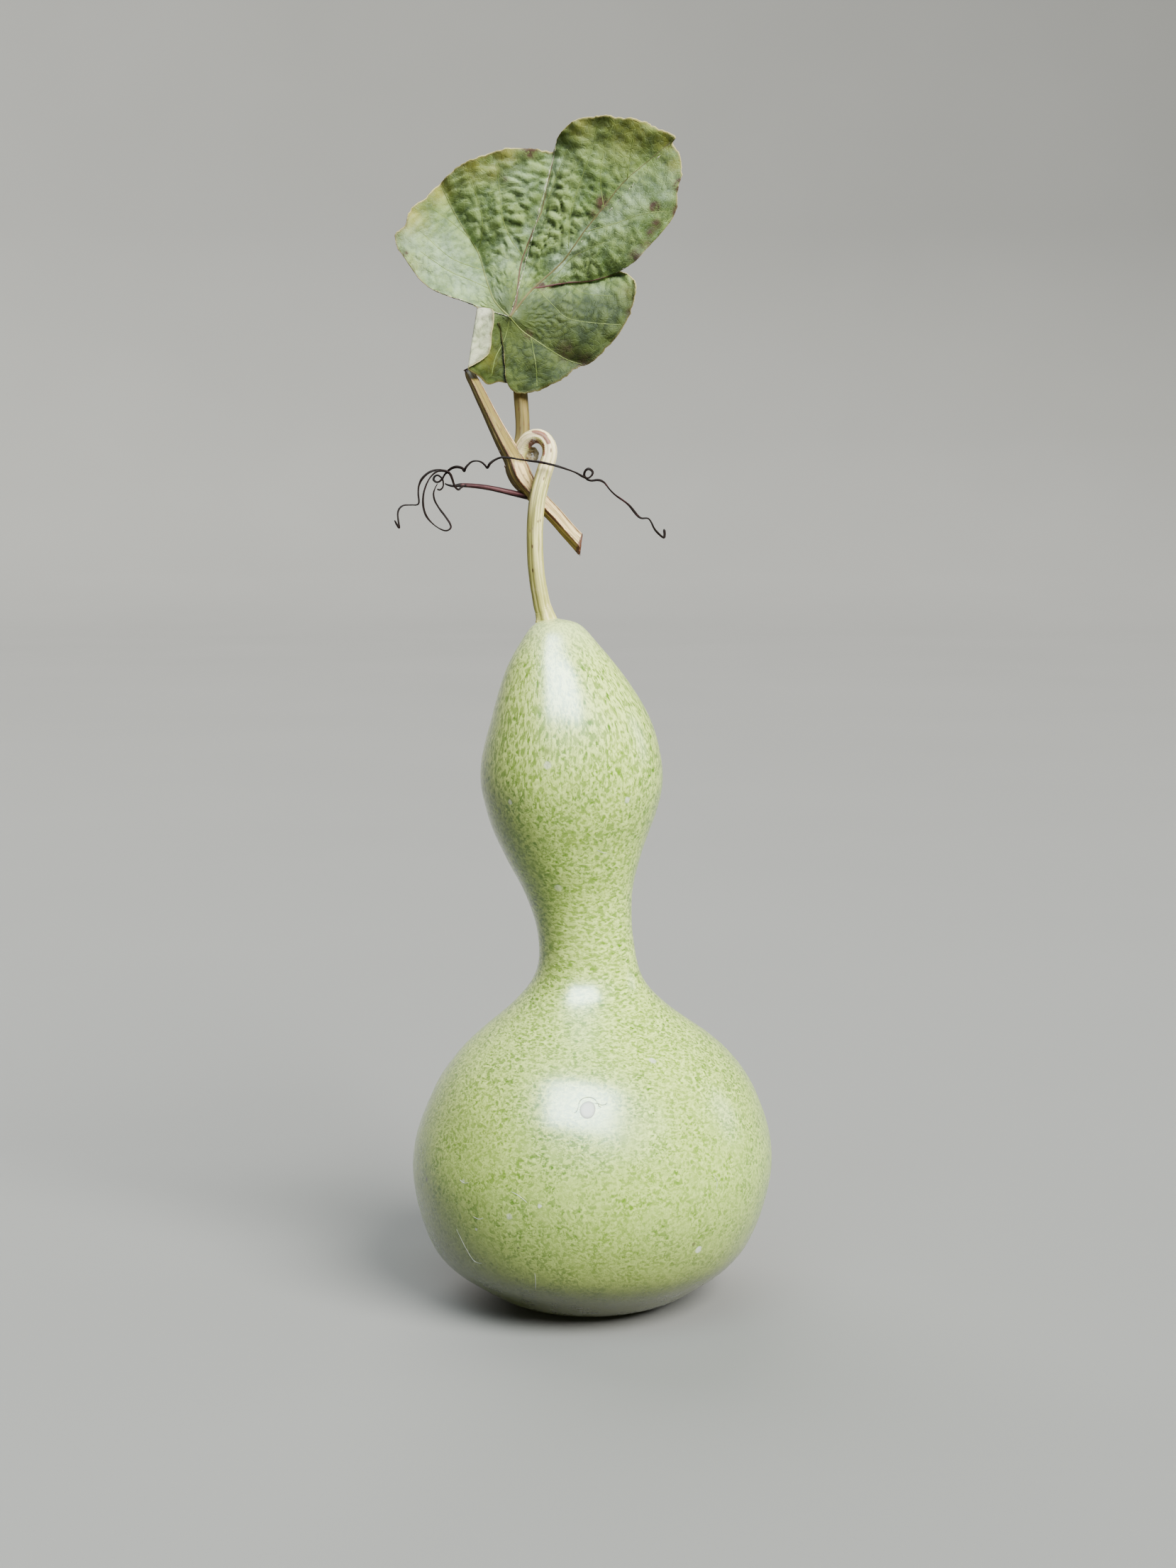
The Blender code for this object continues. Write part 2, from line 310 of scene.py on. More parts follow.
def rind_mesh():
    """The outline spun into the fruit, uneven as it grew, and leant. It keeps the net's own grain."""
    bm = bmesh.new()
    grain = bm.verts.layers.float_vector.new("grain")
    up_thread = bm.verts.layers.float.new("up_thread")
    profile = smooth_curve([(r, 0, z) for r, z in FRUIT_PROFILE], 9)
    verts = []
    threads = 0.0
    for before, point in zip(profile[:1] + profile[:-1], profile):
        threads += (point - before).length * station_value(THREADS_UP, point.z)
        verts.append(bm.verts.new(point * MM))
        verts[-1][up_thread] = threads * MM
    edges = [bm.edges.new(pair) for pair in zip(verts, verts[1:])]
    bmesh.ops.spin(
        bm,
        geom=verts + edges,
        cent=(0, 0, 0),
        axis=(0, 0, 1),
        angle=2 * math.pi,
        steps=FRUIT_SIDES,
        use_merge=True,
    )
    bmesh.ops.remove_doubles(bm, verts=bm.verts, dist=0.001 * MM)
    bmesh.ops.recalc_face_normals(bm, faces=bm.faces)
    for vert in bm.verts:
        close = station_value(THREADS_AROUND, vert.co.z / MM)
        vert[grain] = (vert.co.x * close, vert.co.y * close, vert[up_thread])
    bm.normal_update()
    for vert, normal in [(v, v.normal.copy()) for v in bm.verts]:
        off_floor = min(1.0, vert.co.z / (25 * MM))
        swell = 0.9 * noise.noise(vert.co * 17.0) + 0.28 * noise.noise(vert.co * 46.0)
        vert.co += normal * swell * off_floor * MM
        vert.co.x += station_value(FRUIT_LEAN, vert.co.z / MM) * MM
    return bm


def roughen(finish, shader, height, strength, depth):
    """Fine relief from a pattern of heights, whose depth is in millimetres."""
    sockets = {"Strength": strength, "Distance": depth * MM, "Height": height}
    wire(finish, node(finish, "Bump", sockets).outputs["Normal"], shader.inputs["Normal"])


rind_finish, rind_shader = new_finish(
    "gourd_rind", 0.33, Specular_IOR_Level=0.15, Coat_Weight=1.0, Coat_Roughness=0.245
)
rind_place = node(rind_finish, "TexCoord").outputs["Object"]
rind_height = node(rind_finish, "SeparateXYZ", {"Vector": rind_place}).outputs["Z"]
rind_grain = node(rind_finish, "Attribute", attribute_name="grain").outputs["Vector"]

grain_bend = node(rind_finish, "TexNoise", {"Vector": rind_grain, "Scale": 260.0, "Detail": 2.0})
grain_bend = node(
    rind_finish,
    "VectorMath",
    {0: grain_bend.outputs["Color"], 1: (0.5, 0.5, 0.5)},
    operation="SUBTRACT",
)
grain_bend = node(
    rind_finish,
    "VectorMath",
    {0: grain_bend.outputs["Vector"], 1: (THREAD_WANDER * MM,) * 3, 2: rind_grain},
    operation="MULTIPLY_ADD",
).outputs["Vector"]


def net_of_threads(spacing, width):
    """One layer of pale threads: the borders of cells of that spacing, in metres."""
    sockets = {"Vector": grain_bend, "Scale": 1.0 / spacing}
    cells = node(rind_finish, "TexVoronoi", sockets, feature="DISTANCE_TO_EDGE")
    return eased(rind_finish, cells.outputs["Distance"], 0.04, width, 1.0, 0.0)


wide_net = net_of_threads(0.0030, 0.36)
close_net = net_of_threads(0.0018, 0.40)
net_breaks = cloud(rind_finish, rind_grain, 420.0, 3.0, 0.6)
wide_net = times(rind_finish, wide_net, eased(rind_finish, net_breaks, 0.30, 0.62))
close_net = times(rind_finish, close_net, eased(rind_finish, net_breaks, 0.62, 0.40))
net = maths(rind_finish, "MAXIMUM", wide_net, times(rind_finish, close_net, 0.75))
flecks = eased(rind_finish, cloud(rind_finish, rind_grain, 600.0, 2.0), 0.50, 0.60)
net = maths(rind_finish, "MAXIMUM", net, times(rind_finish, flecks, 0.8))
gaps = eased(rind_finish, cloud(rind_finish, grain_bend, 520.0, 2.0), 0.52, 0.40)
gaps = times(rind_finish, gaps, 0.7)
net = times(rind_finish, net, maths(rind_finish, "SUBTRACT", 1.0, gaps))

height_share = maths(rind_finish, "DIVIDE", rind_height, CROWN_HEIGHT * MM)
net_clearness = node(rind_finish, "ValToRGB", {"Fac": height_share})
clearness_steps = net_clearness.color_ramp.elements
clearness_steps.remove(clearness_steps[1])
clearness_steps[0].color = (CLEARNESS_AT_FOOT, CLEARNESS_AT_FOOT, CLEARNESS_AT_FOOT, 1.0)
for share, clearness in NET_CLEARNESS:
    clearness_steps.new(share).color = (clearness, clearness, clearness, 1.0)
net = times(rind_finish, net, net_clearness.outputs["Color"])

patches = cloud(rind_finish, rind_place, 26.0, 4.0, 0.6)
small_patches = cloud(rind_finish, rind_place, 95.0, 3.0, 0.6)
flesh_green = mixed(
    rind_finish, eased(rind_finish, patches, 0.35, 0.65), (0.062, 0.165, 0.002), (0.125, 0.250, 0.005)
)
yellow_share = eased(rind_finish, small_patches, 0.40, 0.70, 0.0, 0.35)
flesh_green = mixed(rind_finish, yellow_share, flesh_green, (0.300, 0.420, 0.050))
rind_colour = mixed(rind_finish, net, flesh_green, (0.665, 0.810, 0.215))
cloudy = eased(rind_finish, small_patches, 0.35, 0.75, 0.0, 0.55)
bloom = times(rind_finish, cloudy, eased(rind_finish, rind_height, 0.145, 0.09))
rind_colour = mixed(rind_finish, bloom, rind_colour, (0.400, 0.540, 0.120))
# Darker and browner towards the foot: partly a soiled tone of its own, partly painted shade.
foot = eased(rind_finish, rind_height, 0.070, 0.004, 0.0, 0.80)
rind_colour = mixed(rind_finish, foot, rind_colour, (0.150, 0.150, 0.050))
# Paler at the very top of the crown: partly its dense pale net, partly a painted highlight.
crown_pale_and_highlight = eased(rind_finish, rind_height, 0.316, 0.341, 0.0, 0.45)
rind_colour = mixed(rind_finish, crown_pale_and_highlight, rind_colour, (0.700, 0.800, 0.420))

# Healed nicks, dark specks and soft spots: where each lies, how big it is, and how strong.
NICKS = [
    ((-23.3, -86.2, 71.9), 1.3, 0.8),
    ((-53.5, -68.5, 55.4), 1.2, 0.8),
    ((-37.7, -80.3, 65.0), 1.9, 0.5),
    ((-36.0, -80.0, 62.4), 1.1, 0.5),
    ((-59.9, -64.2, 77.2), 1.4, 0.4),
    ((51.1, -68.5, 45.5), 2.3, 0.7),
    ((-20.2, -42.2, 273.2), 2.4, 0.5),
    ((-38.4, -32.7, 254.3), 1.6, 0.6),
    ((17.8, -34.8, 255.6), 1.9, 0.6),
    ((-15.4, -27.7, 212.0), 2.4, 0.4),
    ((29.8, -50.5, 132.3), 2.2, 0.6),
    ((31.0, 66.0, 112.0), 2.2, 0.7),
    ((-12.0, 88.0, 84.0), 1.6, 0.7),
    ((22.0, 34.0, 262.0), 1.8, 0.6),
]
SPECKS = [
    ((-78.9, -39.8, 71.1), 1.5, 0.85),
    ((-41.5, -78.9, 68.9), 0.7, 0.8),
    ((-43.3, -76.1, 58.6), 0.7, 0.8),
    ((-33.6, -79.5, 49.6), 0.8, 0.6),
    ((-25.9, -70.8, 26.3), 0.9, 0.8),
    ((-67.3, -12.2, 120.7), 0.9, 0.8),
    ((48.9, -71.9, 49.0), 1.2, 0.7),
    ((-28.4, -71.4, 27.6), 0.6, 0.7),
    ((60.0, 58.0, 92.0), 1.0, 0.8),
    ((-40.0, 74.0, 58.0), 0.8, 0.8),
]
SOFT_SPOTS = [
    ((-20.5, -40.8, 279.7), 2.6, 0.75),
    ((48.2, -75.6, 77.8), 2.0, 0.6),
    ((65.7, -58.9, 88.3), 3.2, 0.35),
    ((-53.0, -72.0, 70.0), 9.0, 0.2),
    ((-9.0, -43.0, 262.0), 5.0, 0.25),
]
mark_wobble = node(rind_finish, "TexNoise", {"Vector": rind_place, "Scale": 900.0, "Detail": 2.0})
mark_place = node(
    rind_finish,
    "VectorMath",
    {0: mark_wobble.outputs["Color"], 1: (MARK_WANDER * MM,) * 3, 2: rind_place},
    operation="MULTIPLY_ADD",
).outputs["Vector"]


def marked(colour, marks, mark_colour, sharpness):
    """The rind's colour with a list of marks painted on it, each set off by the mean wander."""
    for spot, radius, strength in marks:
        middle = [(c + MARK_WANDER / 2) * MM for c in spot]
        away = node(rind_finish, "VectorMath", {0: mark_place, 1: middle}, operation="DISTANCE")
        reach = radius * MM
        share = eased(rind_finish, away.outputs["Value"], reach, reach * sharpness, 0.0, strength)
        colour = mixed(rind_finish, share, colour, mark_colour)
    return colour


rind_colour = marked(rind_colour, SOFT_SPOTS, (0.130, 0.210, 0.014), 0.2)
rind_colour = marked(rind_colour, NICKS, (0.700, 0.720, 0.600), 0.55)
rind_colour = marked(rind_colour, SPECKS, (0.060, 0.050, 0.025), 0.5)
wire(rind_finish, rind_colour, rind_shader.inputs["Base Color"])

rind_gloss = eased(rind_finish, small_patches, 0.35, 0.7, 0.26, 0.38)
wire(rind_finish, rind_gloss, rind_shader.inputs["Roughness"])
pores = cloud(rind_finish, rind_place, 1500.0, 2.0)
rind_relief = plus(rind_finish, times(rind_finish, pores, 0.35), net)
roughen(rind_finish, rind_shader, rind_relief, 0.5, 0.20)

fruit_bm = rind_mesh()
rind_tree = BVHTree.FromBMesh(fruit_bm)
add_piece("gourd_rind", fruit_bm, [rind_finish], "gourd_skin", "gourd_fruit")

# ------------------------------------------------------------------------------------------------
# The rind's scars: a drop-shaped one that healed high on the belly's front, with a split line
# round it, and some fine scratches. They are corky skin that stands a hair proud of the rind.
# ------------------------------------------------------------------------------------------------
SCAR_MIDDLE = (-1.3, 114.4)
SCAR_RADIUS = 4.0
SCAR_LINE_RADIUS = 0.19
SCRATCH_RADIUS = 0.14
# The lines, as places across and up from the scar's middle or, for scratches, on the fruit itself.
SCAR_LINES = [
    [(-4.2, 1.6), (-3.6, 3.6), (-1.6, 5.0), (1.4, 5.3), (3.6, 4.4), (4.9, 2.8)],
    [(2.6, 2.9), (4.9, 2.8), (6.4, 2.2), (8.6, 2.5), (9.4, 3.4)],
    [(4.9, 2.8), (5.6, 1.6), (6.6, 1.4)],
    [(-4.2, 1.6), (-4.9, -0.2), (-6.2, -1.2)],
]
SCRATCHES = [
    [(-63.8, 52.2), (-61.1, 46.9), (-58.8, 42.6), (-56.4, 38.6), (-54.2, 37.0), (-51.6, 37.4)],
    [(-36.9, 77.1), (-34.4, 76.2), (-31.6, 74.6), (-29.2, 72.8)],
    [(-55.4, 61.6), (-52.6, 60.9), (-50.4, 62.0)],
    [(-62.0, 77.6), (-59.6, 76.6), (-57.4, 77.4)],
    [(3.2, 231.6), (5.6, 230.2), (8.2, 229.4)],
    [(-26.0, 36.9), (-25.7, 32.0), (-25.9, 27.0)],
    [(58.0, 82.0), (60.0, 78.0), (59.4, 74.4)],
]


def on_rind(across, up, lift=0.0):
    """The place on the rind's front that is so far across and up, raised from it by lift."""
    place, normal, _, _ = rind_tree.ray_cast(Vector((across * MM, -0.2, up * MM)), Vector((0, 1, 0)))
    return place + normal * lift * MM


def line_frames(middle):
    """The direction along a line at each point, and two square to it that don't twist."""
    ways = [(b - a).normalized() for a, b in zip(middle[:1] + middle[:-1], middle[1:] + middle[-1:])]
    side = Vector((0, -1, 0))
    if abs(side.dot(ways[0])) > 0.9:
        side = Vector((1, 0, 0))
    result = []
    for way in ways:
        side = (side - way * side.dot(way)).normalized()
        result.append((way, side, way.cross(side)))
    return result


def sweep(bm, middle, radii, sides, shape=None, tone=0.0):
    """A closed stem along a line: a grid rolled round it, with its seam merged and its ends filled."""
    grain = bm.verts.layers.float_vector.get("grain") or bm.verts.layers.float_vector.new("grain")
    tones = bm.verts.layers.float.get("tone") or bm.verts.layers.float.new("tone")
    pales = bm.verts.layers.float.get("pale") or bm.verts.layers.float.new("pale")
    rings = len(middle) - 1
    along = [0.0]
    for before, point in zip(middle, middle[1:]):
        along.append(along[-1] + (point - before).length)
    frames_here = line_frames(middle)
    verts = bmesh.ops.create_grid(bm, x_segments=rings, y_segments=sides, size=0.5)["verts"]
    for vert in verts:
        ring = round((vert.co.x + 0.5) * rings)
        angle = 2 * math.pi * (vert.co.y + 0.5)
        _, side, other = frames_here[ring]
        out = side * math.cos(angle) + other * math.sin(angle)
        radius = radii[ring]
        if shape:
            radius = shape(ring, along[ring], angle, out, radius)
        vert.co = middle[ring] + out * radius
        vert[grain] = (math.cos(angle) * radii[ring], math.sin(angle) * radii[ring], along[ring])
        vert[tones] = tone
        vert[pales] = 0.0
    bmesh.ops.remove_doubles(bm, verts=verts, dist=0.0005 * MM)
    edges = {e for v in verts if v.is_valid for e in v.link_edges if e.is_boundary}
    caps = bmesh.ops.holes_fill(bm, edges=list(edges), sides=0)["faces"]
    return [v for v in verts if v.is_valid], caps


def tapered(count, radius, tip):
    """The radii of a line that thins over its last third to a tip, which is a share of its radius."""
    ends = [min(i, count - 1 - i) / count for i in range(count)]
    return [radius * MM * min(1.0, tip + 3 * end) for end in ends]


def scar_mesh():
    """The healed scar as a thin domed pad that follows the rind, with its split lines and scratches."""
    bm = bmesh.new()
    tones = bm.verts.layers.float.new("tone")
    bmesh.ops.create_circle(bm, cap_ends=True, cap_tris=True, segments=40, radius=1.0)
    spokes = [edge for edge in bm.edges if not edge.is_boundary]
    bmesh.ops.subdivide_edges(bm, edges=spokes, cuts=4, use_grid_fill=True)
    for vert in bm.verts:
        out = vert.co.length
        angle = math.atan2(vert.co.y, vert.co.x)
        reach = SCAR_RADIUS * out * (1 + 0.16 * max(0.0, math.cos(angle - 0.9)) ** 3)
        lift = 0.04 + 0.16 * max(0.0, 1 - out ** 6) + 0.05 * noise.noise(vert.co * 2.5)
        across = SCAR_MIDDLE[0] + reach * math.cos(angle)
        up = SCAR_MIDDLE[1] + reach * math.sin(angle) * 0.95
        vert[tones] = 0.15 + 0.85 * out ** 5
        vert.co = on_rind(across, up, lift if out < 0.99 else -0.15)
    for line in SCAR_LINES:
        placed = [(x + SCAR_MIDDLE[0], z + SCAR_MIDDLE[1]) for x, z in line]
        middle = [on_rind(p.x, p.y) for p in smooth_curve([(x, z, 0) for x, z in placed], 6)]
        sweep(bm, middle, tapered(len(middle), SCAR_LINE_RADIUS, 0.35), 6, tone=0.9)
    for line in SCRATCHES:
        middle = [on_rind(p.x, p.y) for p in smooth_curve([(x, z, 0) for x, z in line], 6)]
        sweep(bm, middle, tapered(len(middle), SCRATCH_RADIUS, 0.3), 6, tone=0.42)
    bmesh.ops.recalc_face_normals(bm, faces=bm.faces)
    return bm


scar_finish, scar_shader = new_finish("rind_scar", 0.5)
scar_tone = node(scar_finish, "Attribute", attribute_name="tone").outputs["Fac"]
scar_place = node(scar_finish, "TexCoord").outputs["Object"]
scar_grit = cloud(scar_finish, scar_place, 1400.0, 3.0)
scar_pale = mixed(scar_finish, scar_grit, (0.62, 0.64, 0.56), (0.74, 0.75, 0.68))
scar_colour = mixed(scar_finish, scar_tone, scar_pale, (0.15, 0.17, 0.10))
wire(scar_finish, scar_colour, scar_shader.inputs["Base Color"])
roughen(scar_finish, scar_shader, scar_grit, 0.4, 0.1)
add_piece("rind_scars", scar_mesh(), [scar_finish], "gourd_skin")

# ------------------------------------------------------------------------------------------------
# The fruit's stalk: a ribbed green-straw stem that flares onto the crown, rises in front of the
# vine and turns down into it in a tight hook, whose inner side is creased like a bent finger.
# ------------------------------------------------------------------------------------------------
# The stalk's middle line from the crown to the vine, with its radius at each point.
FRUIT_STALK = [
    (-20.6, 4.5, 333.0, 4.7),
    (-21.4, 4.5, 339.0, 4.75),
    (-22.6, 3.8, 344.0, 4.3),
    (-24.0, 3.0, 349.0, 4.05),
    (-26.3, 0.0, 364.0, 3.9),
    (-26.9, -3.8, 382.0, 3.9),
    (-25.6, -6.4, 398.0, 3.9),
    (-22.4, -6.0, 411.0, 3.8),
    (-19.8, -5.0, 419.0, 3.6),
    (-19.7, -3.8, 424.0, 3.4),
    (-21.8, -2.2, 427.6, 3.3),
    (-25.4, -0.4, 429.2, 3.3),
    (-29.4, 1.4, 428.2, 3.4),
    (-32.2, 2.8, 425.2, 3.4),
    (-33.8, 3.6, 421.6, 3.3),
    (-35.4, 4.0, 417.6, 3.2),
]
FRUIT_STALK_STEPS = 20
STALK_RIBS = 7
# The middle of the hook's inner side, where the skin is folded and dark.
HOOK_INSIDE = Vector((-26.6, 0.0, 424.6)) * MM
HOOK_FOOT = 419.5 * MM
# The healed grazes over the hook's top: each line's two ends and how wide it is.
STALK_GRAZES = [
    ((-27.4, -2.6, 432.2), (-22.8, -4.6, 430.4), 1.7),
    ((-22.0, -6.0, 429.0), (-20.2, -7.0, 426.4), 1.5),
    ((-22.8, -5.6, 424.6), (-22.6, -7.6, 420.4), 1.1),
    ((-23.6, 0.5, 350.0), (-23.0, 1.5, 346.6), 0.5),
]


def route_lines(route, steps):
    """The middle line of a route of points and radii, and the radius at each of its points."""
    middle = [p * MM for p in smooth_curve([p[:3] for p in route], steps)]
    radii = [p.x * MM for p in smooth_curve([(p[3], 0, 0) for p in route], steps)]
    return middle, radii


def hill(value, middle, reach, power=2):
    """A bump of height 1 at the middle, which falls away over the reach on both sides."""
    return math.exp(-(((value - middle) / reach) ** power))


def bends(middle):
    """How sharply a line bends at each point, as a vector towards the inside of the bend."""
    result = [Vector((0, 0, 0))]
    for before, here, after in zip(middle, middle[1:], middle[2:]):
        step = (after - before).length / 2
        result.append((after - 2 * here + before) / (step * step))
    return result + [Vector((0, 0, 0))]


def distance_to_line(place, line):
    """How far a place is from a line of points."""
    nearest = []
    for start, end in zip(line, line[1:]):
        foot, share = geometry.intersect_point_line(place, start, end)
        foot = start if share < 0 else end if share > 1 else foot
        nearest.append((place - foot).length)
    return min(nearest)


def stem_finish(name, skin, deep, face, blush, speck_strength, roughness=0.5, gloss=0.2):
    """Ribbed stem skin: streaks along it, a paler face, rusty specks, and a blush that tone brings; on some
    stems pale carries a painted highlight and tone painted shade.
    """
    finish, shader = new_finish(name, roughness, Specular_IOR_Level=gloss)
    grain = node(finish, "Attribute", attribute_name="grain").outputs["Vector"]
    tone = node(finish, "Attribute", attribute_name="tone").outputs["Fac"]
    pale = node(finish, "Attribute", attribute_name="pale").outputs["Fac"]
    long_grain = node(finish, "Mapping", {"Vector": grain, "Scale": (1.0, 1.0, 0.05)}).outputs["Vector"]
    streaks = cloud(finish, long_grain, 1000.0, 3.0, 0.6)
    broad = cloud(finish, long_grain, 300.0, 2.0)
    worn = cloud(finish, grain, 240.0, 3.0, 0.6)
    ragged = times(finish, maths(finish, "SUBTRACT", worn, 0.5), 0.8)
    colour = mixed(finish, eased(finish, broad, 0.40, 0.60), skin, deep)
    colour = mixed(finish, eased(finish, plus(finish, pale, ragged), 0.30, 0.70), colour, face)
    colour = mixed(finish, eased(finish, streaks, 0.52, 0.66, 0.0, 0.85), colour, [c * 0.8 for c in deep])
    colour = mixed(finish, eased(finish, streaks, 0.46, 0.32, 0.0, 0.6), colour, face)
    bands = cloud(finish, long_grain, 430.0, 2.0)
    colour = mixed(finish, eased(finish, bands, 0.52, 0.64, 0.0, 0.65), colour, deep)
    freckle_place = node(finish, "Mapping", {"Vector": grain, "Scale": (1.0, 1.0, 0.45)}).outputs["Vector"]
    freckles = node(finish, "TexVoronoi", {"Vector": freckle_place, "Scale": 560.0})
    chosen = node(finish, "SeparateColor", {"Color": freckles.outputs["Color"]}).outputs["Red"]
    specks = eased(finish, freckles.outputs["Distance"], 0.34, 0.18)
    specks = times(finish, specks, eased(finish, chosen, 0.80, 0.84, 0.0, speck_strength))
    colour = mixed(finish, specks, colour, (0.120, 0.050, 0.028))
    colour = mixed(finish, eased(finish, plus(finish, tone, ragged), 0.36, 0.60), colour, blush)
    wire(finish, colour, shader.inputs["Base Color"])
    pits = cloud(finish, grain, 1600.0, 2.0)
    roughen(finish, shader, plus(finish, streaks, times(finish, pits, 0.35)), 0.6, 0.22)
    return finish


def fruit_stalk_mesh():
    """The stalk swept along its route, ribbed, creased inside its bends and flared at its foot."""
    bm = bmesh.new()
    middle, radii = route_lines(FRUIT_STALK, FRUIT_STALK_STEPS)
    turn = bends(middle)

    def shape(ring, along, angle, out, radius):
        ribs = 0.045 * math.cos(STALK_RIBS * angle + 0.6) + 0.016 * math.cos(19 * angle + 1.0)
        inside = min(1.0, max(0.0, out.dot(turn[ring])) * 6.0 * MM)
        creases = 0.075 * inside * math.cos(along / (0.20 * MM) + 2.2 * math.sin(2 * angle))
        unevenness = 0.03 * noise.noise((middle[ring] + out * radius) * 120.0)
        foot = 0.12 * math.exp(-max(0.0, along - 7.5 * MM) / (2.4 * MM)) * (1 + 0.7 * math.cos(5 * angle))
        return radius * (1 + ribs + creases + unevenness + foot)

    verts, _ = sweep(bm, middle, radii, 60, shape)
    tones = bm.verts.layers.float["tone"]
    pales = bm.verts.layers.float["pale"]
    grain = bm.verts.layers.float_vector["grain"]
    for vert in verts:
        grazed = 0.0
        for start, end, width in STALK_GRAZES:
            away = distance_to_line(vert.co, [Vector(start) * MM, Vector(end) * MM])
            grazed = max(grazed, 0.95 * hill(away, 0.0, width * MM))
        hook = max(0.0, min(1.0, (vert.co.z / MM - 404.0) / 22.0))
        angle = math.atan2(vert[grain].y, vert[grain].x)
        folded = 0.9 * hill((vert.co - HOOK_INSIDE).length, 0.0, 4.2 * MM, 4)
        vert[tones] = max(grazed, folded if vert.co.z > HOOK_FOOT else 0.0)
        # Paler towards the hook, its own tone, and towards the front, a painted highlight.
        vert[pales] = 0.15 + 0.50 * hook + 0.22 * math.cos(angle - 0.3)
    bmesh.ops.recalc_face_normals(bm, faces=bm.faces)
    return bm


stalk_finish = stem_finish(
    "fruit_stalk_skin",
    skin=(0.84, 0.77, 0.31),
    deep=(0.48, 0.45, 0.13),
    face=(0.90, 0.74, 0.44),
    blush=(0.26, 0.11, 0.065),
    speck_strength=0.8,
)
add_piece("fruit_stalk_stem", fruit_stalk_mesh(), [stalk_finish], "stem_skin", "fruit_stalk")

# ------------------------------------------------------------------------------------------------
# The vine: a cut length of five-sided runner that swells at the node where everything joins. It
# was cut slanting below, where the rim has browned, and its upper end has dried and split.
# ------------------------------------------------------------------------------------------------
# The vine's middle line from its dried upper end to its cut, with its radius at each point.
VINE = [
    (-59.6, 6.0, 461.2, 2.1),
    (-57.8, 5.8, 458.2, 2.6),
    (-54.9, 5.3, 452.8, 2.8),
    (-46.9, 4.2, 436.6, 3.45),
    (-42.3, 3.6, 427.8, 4.0),
    (-39.6, 3.5, 423.0, 4.4),
    (-37.0, 3.5, 418.2, 4.8),
    (-35.2, 3.5, 413.6, 5.7),
    (-33.4, 3.5, 409.6, 5.6),
    (-29.9, 3.5, 404.8, 4.8),
    (-26.0, 3.5, 400.4, 4.2),
    (-17.3, 3.5, 391.4, 3.9),
    (-10.6, 3.5, 383.8, 3.95),
    (-4.8, 3.5, 377.6, 4.1),
]
VINE_STEPS = 22
VINE_SIDES = 5
# Where its edges lie round it, in degrees from the front.
VINE_EDGES = (18, 90, -54, 162, -126)
CUT_SLANT = 0.75
# Two healed knots beside the node: about where each lies, and its radius.
VINE_KNOTS = [((-44.0, 2.6, 421.9), 0.6), ((-42.8, 2.2, 414.6), 0.65)]


def vine_mesh():
    """The runner swept along its route with flat sides, its browned ends dished, and its knots."""
    bm = bmesh.new()
    middle, radii = route_lines(VINE, VINE_STEPS)
    length = sum((b - a).length for a, b in zip(middle, middle[1:]))
    side_turn = 2 * math.pi / VINE_SIDES
    first_edge = math.radians(VINE_EDGES[0])

    def shape(ring, along, angle, out, radius):
        across = (angle - first_edge) % side_turn - side_turn / 2
        flat_side = math.cos(side_turn / 2) / math.cos(across)
        fine = 0.018 * math.cos(23 * angle) + 0.03 * math.cos(10 * (angle - first_edge))
        unevenness = 0.05 * noise.noise((middle[ring] + out * radius) * 90.0)
        torn = -0.35 * math.exp(-along / (1.4 * MM)) * (0.5 + 0.5 * math.cos(3 * angle + 1.0))
        lip = 0.05 * math.exp(-(length - along) / (0.8 * MM))
        return radius * (1.0 + 0.75 * (flat_side - 0.91) + fine + unevenness + torn + lip)

    verts, caps = sweep(bm, middle, radii, 90, shape)
    tones = bm.verts.layers.float["tone"]
    pales = bm.verts.layers.float["pale"]
    grain = bm.verts.layers.float_vector["grain"]
    way = (middle[-1] - middle[-8]).normalized()
    lower_left = way.cross(Vector((0, -1, 0)))
    for vert in verts:
        along = vert[grain].z
        angle = math.degrees(math.atan2(vert[grain].y, vert[grain].x))
        below_node = max(0.0, min(1.0, (0.420 - vert.co.z) / (6 * MM)))
        front_face = 1.0 if -54 < angle < 18 else 0.0
        right_face = 1.0 if -128 < angle < -50 else 0.0
        vert[pales] = front_face * (0.12 + 0.62 * below_node) + right_face * 0.8
        height = vert.co.z / MM
        edge = max(hill(angle, turn, 8.0) for turn in VINE_EDGES)
        brown_ends = max(math.exp(-along / (1.8 * MM)), math.exp(-(length - along) / (1.5 * MM)))
        # A darker, browner patch on the node's lower-left side is painted shade.
        node_lower_left_shade = hill(angle, 95, 38) * hill(height, 408.5, 6.5, 4)
        cut_side = hill(angle, 26, 16) * hill(height, 391.0, 7)
        vert[tones] = max(brown_ends * 0.95, node_lower_left_shade * 0.36, cut_side * 0.75, edge * 0.74)
        near_end = max(0.0, 1 - (length - along) / (5 * MM))
        vert.co += way * (vert.co - middle[-1]).dot(lower_left) * CUT_SLANT * near_end * near_end
    for cap in caps:
        ring_faces = bmesh.ops.inset_region(bm, faces=[cap], thickness=0.6 * MM, depth=-0.12 * MM)
        bmesh.ops.inset_region(bm, faces=[cap], thickness=1.0 * MM, depth=-0.5 * MM)
        bmesh.ops.poke(bm, faces=[cap])
        for face in ring_faces["faces"]:
            for vert in face.verts:
                vert[tones] = 1.0
    bark = BVHTree.FromBMesh(bm)
    for place, radius in VINE_KNOTS:
        spot = bark.find_nearest(Vector(place) * MM)[0]
        knot = bmesh.ops.create_icosphere(bm, subdivisions=3, radius=radius * MM)["verts"]
        for vert in knot:
            vert.co = vert.co * (1 + 0.2 * noise.noise(vert.co * 900.0)) + spot
            vert[tones] = 0.6
    bmesh.ops.recalc_face_normals(bm, faces=bm.faces)
    return bm


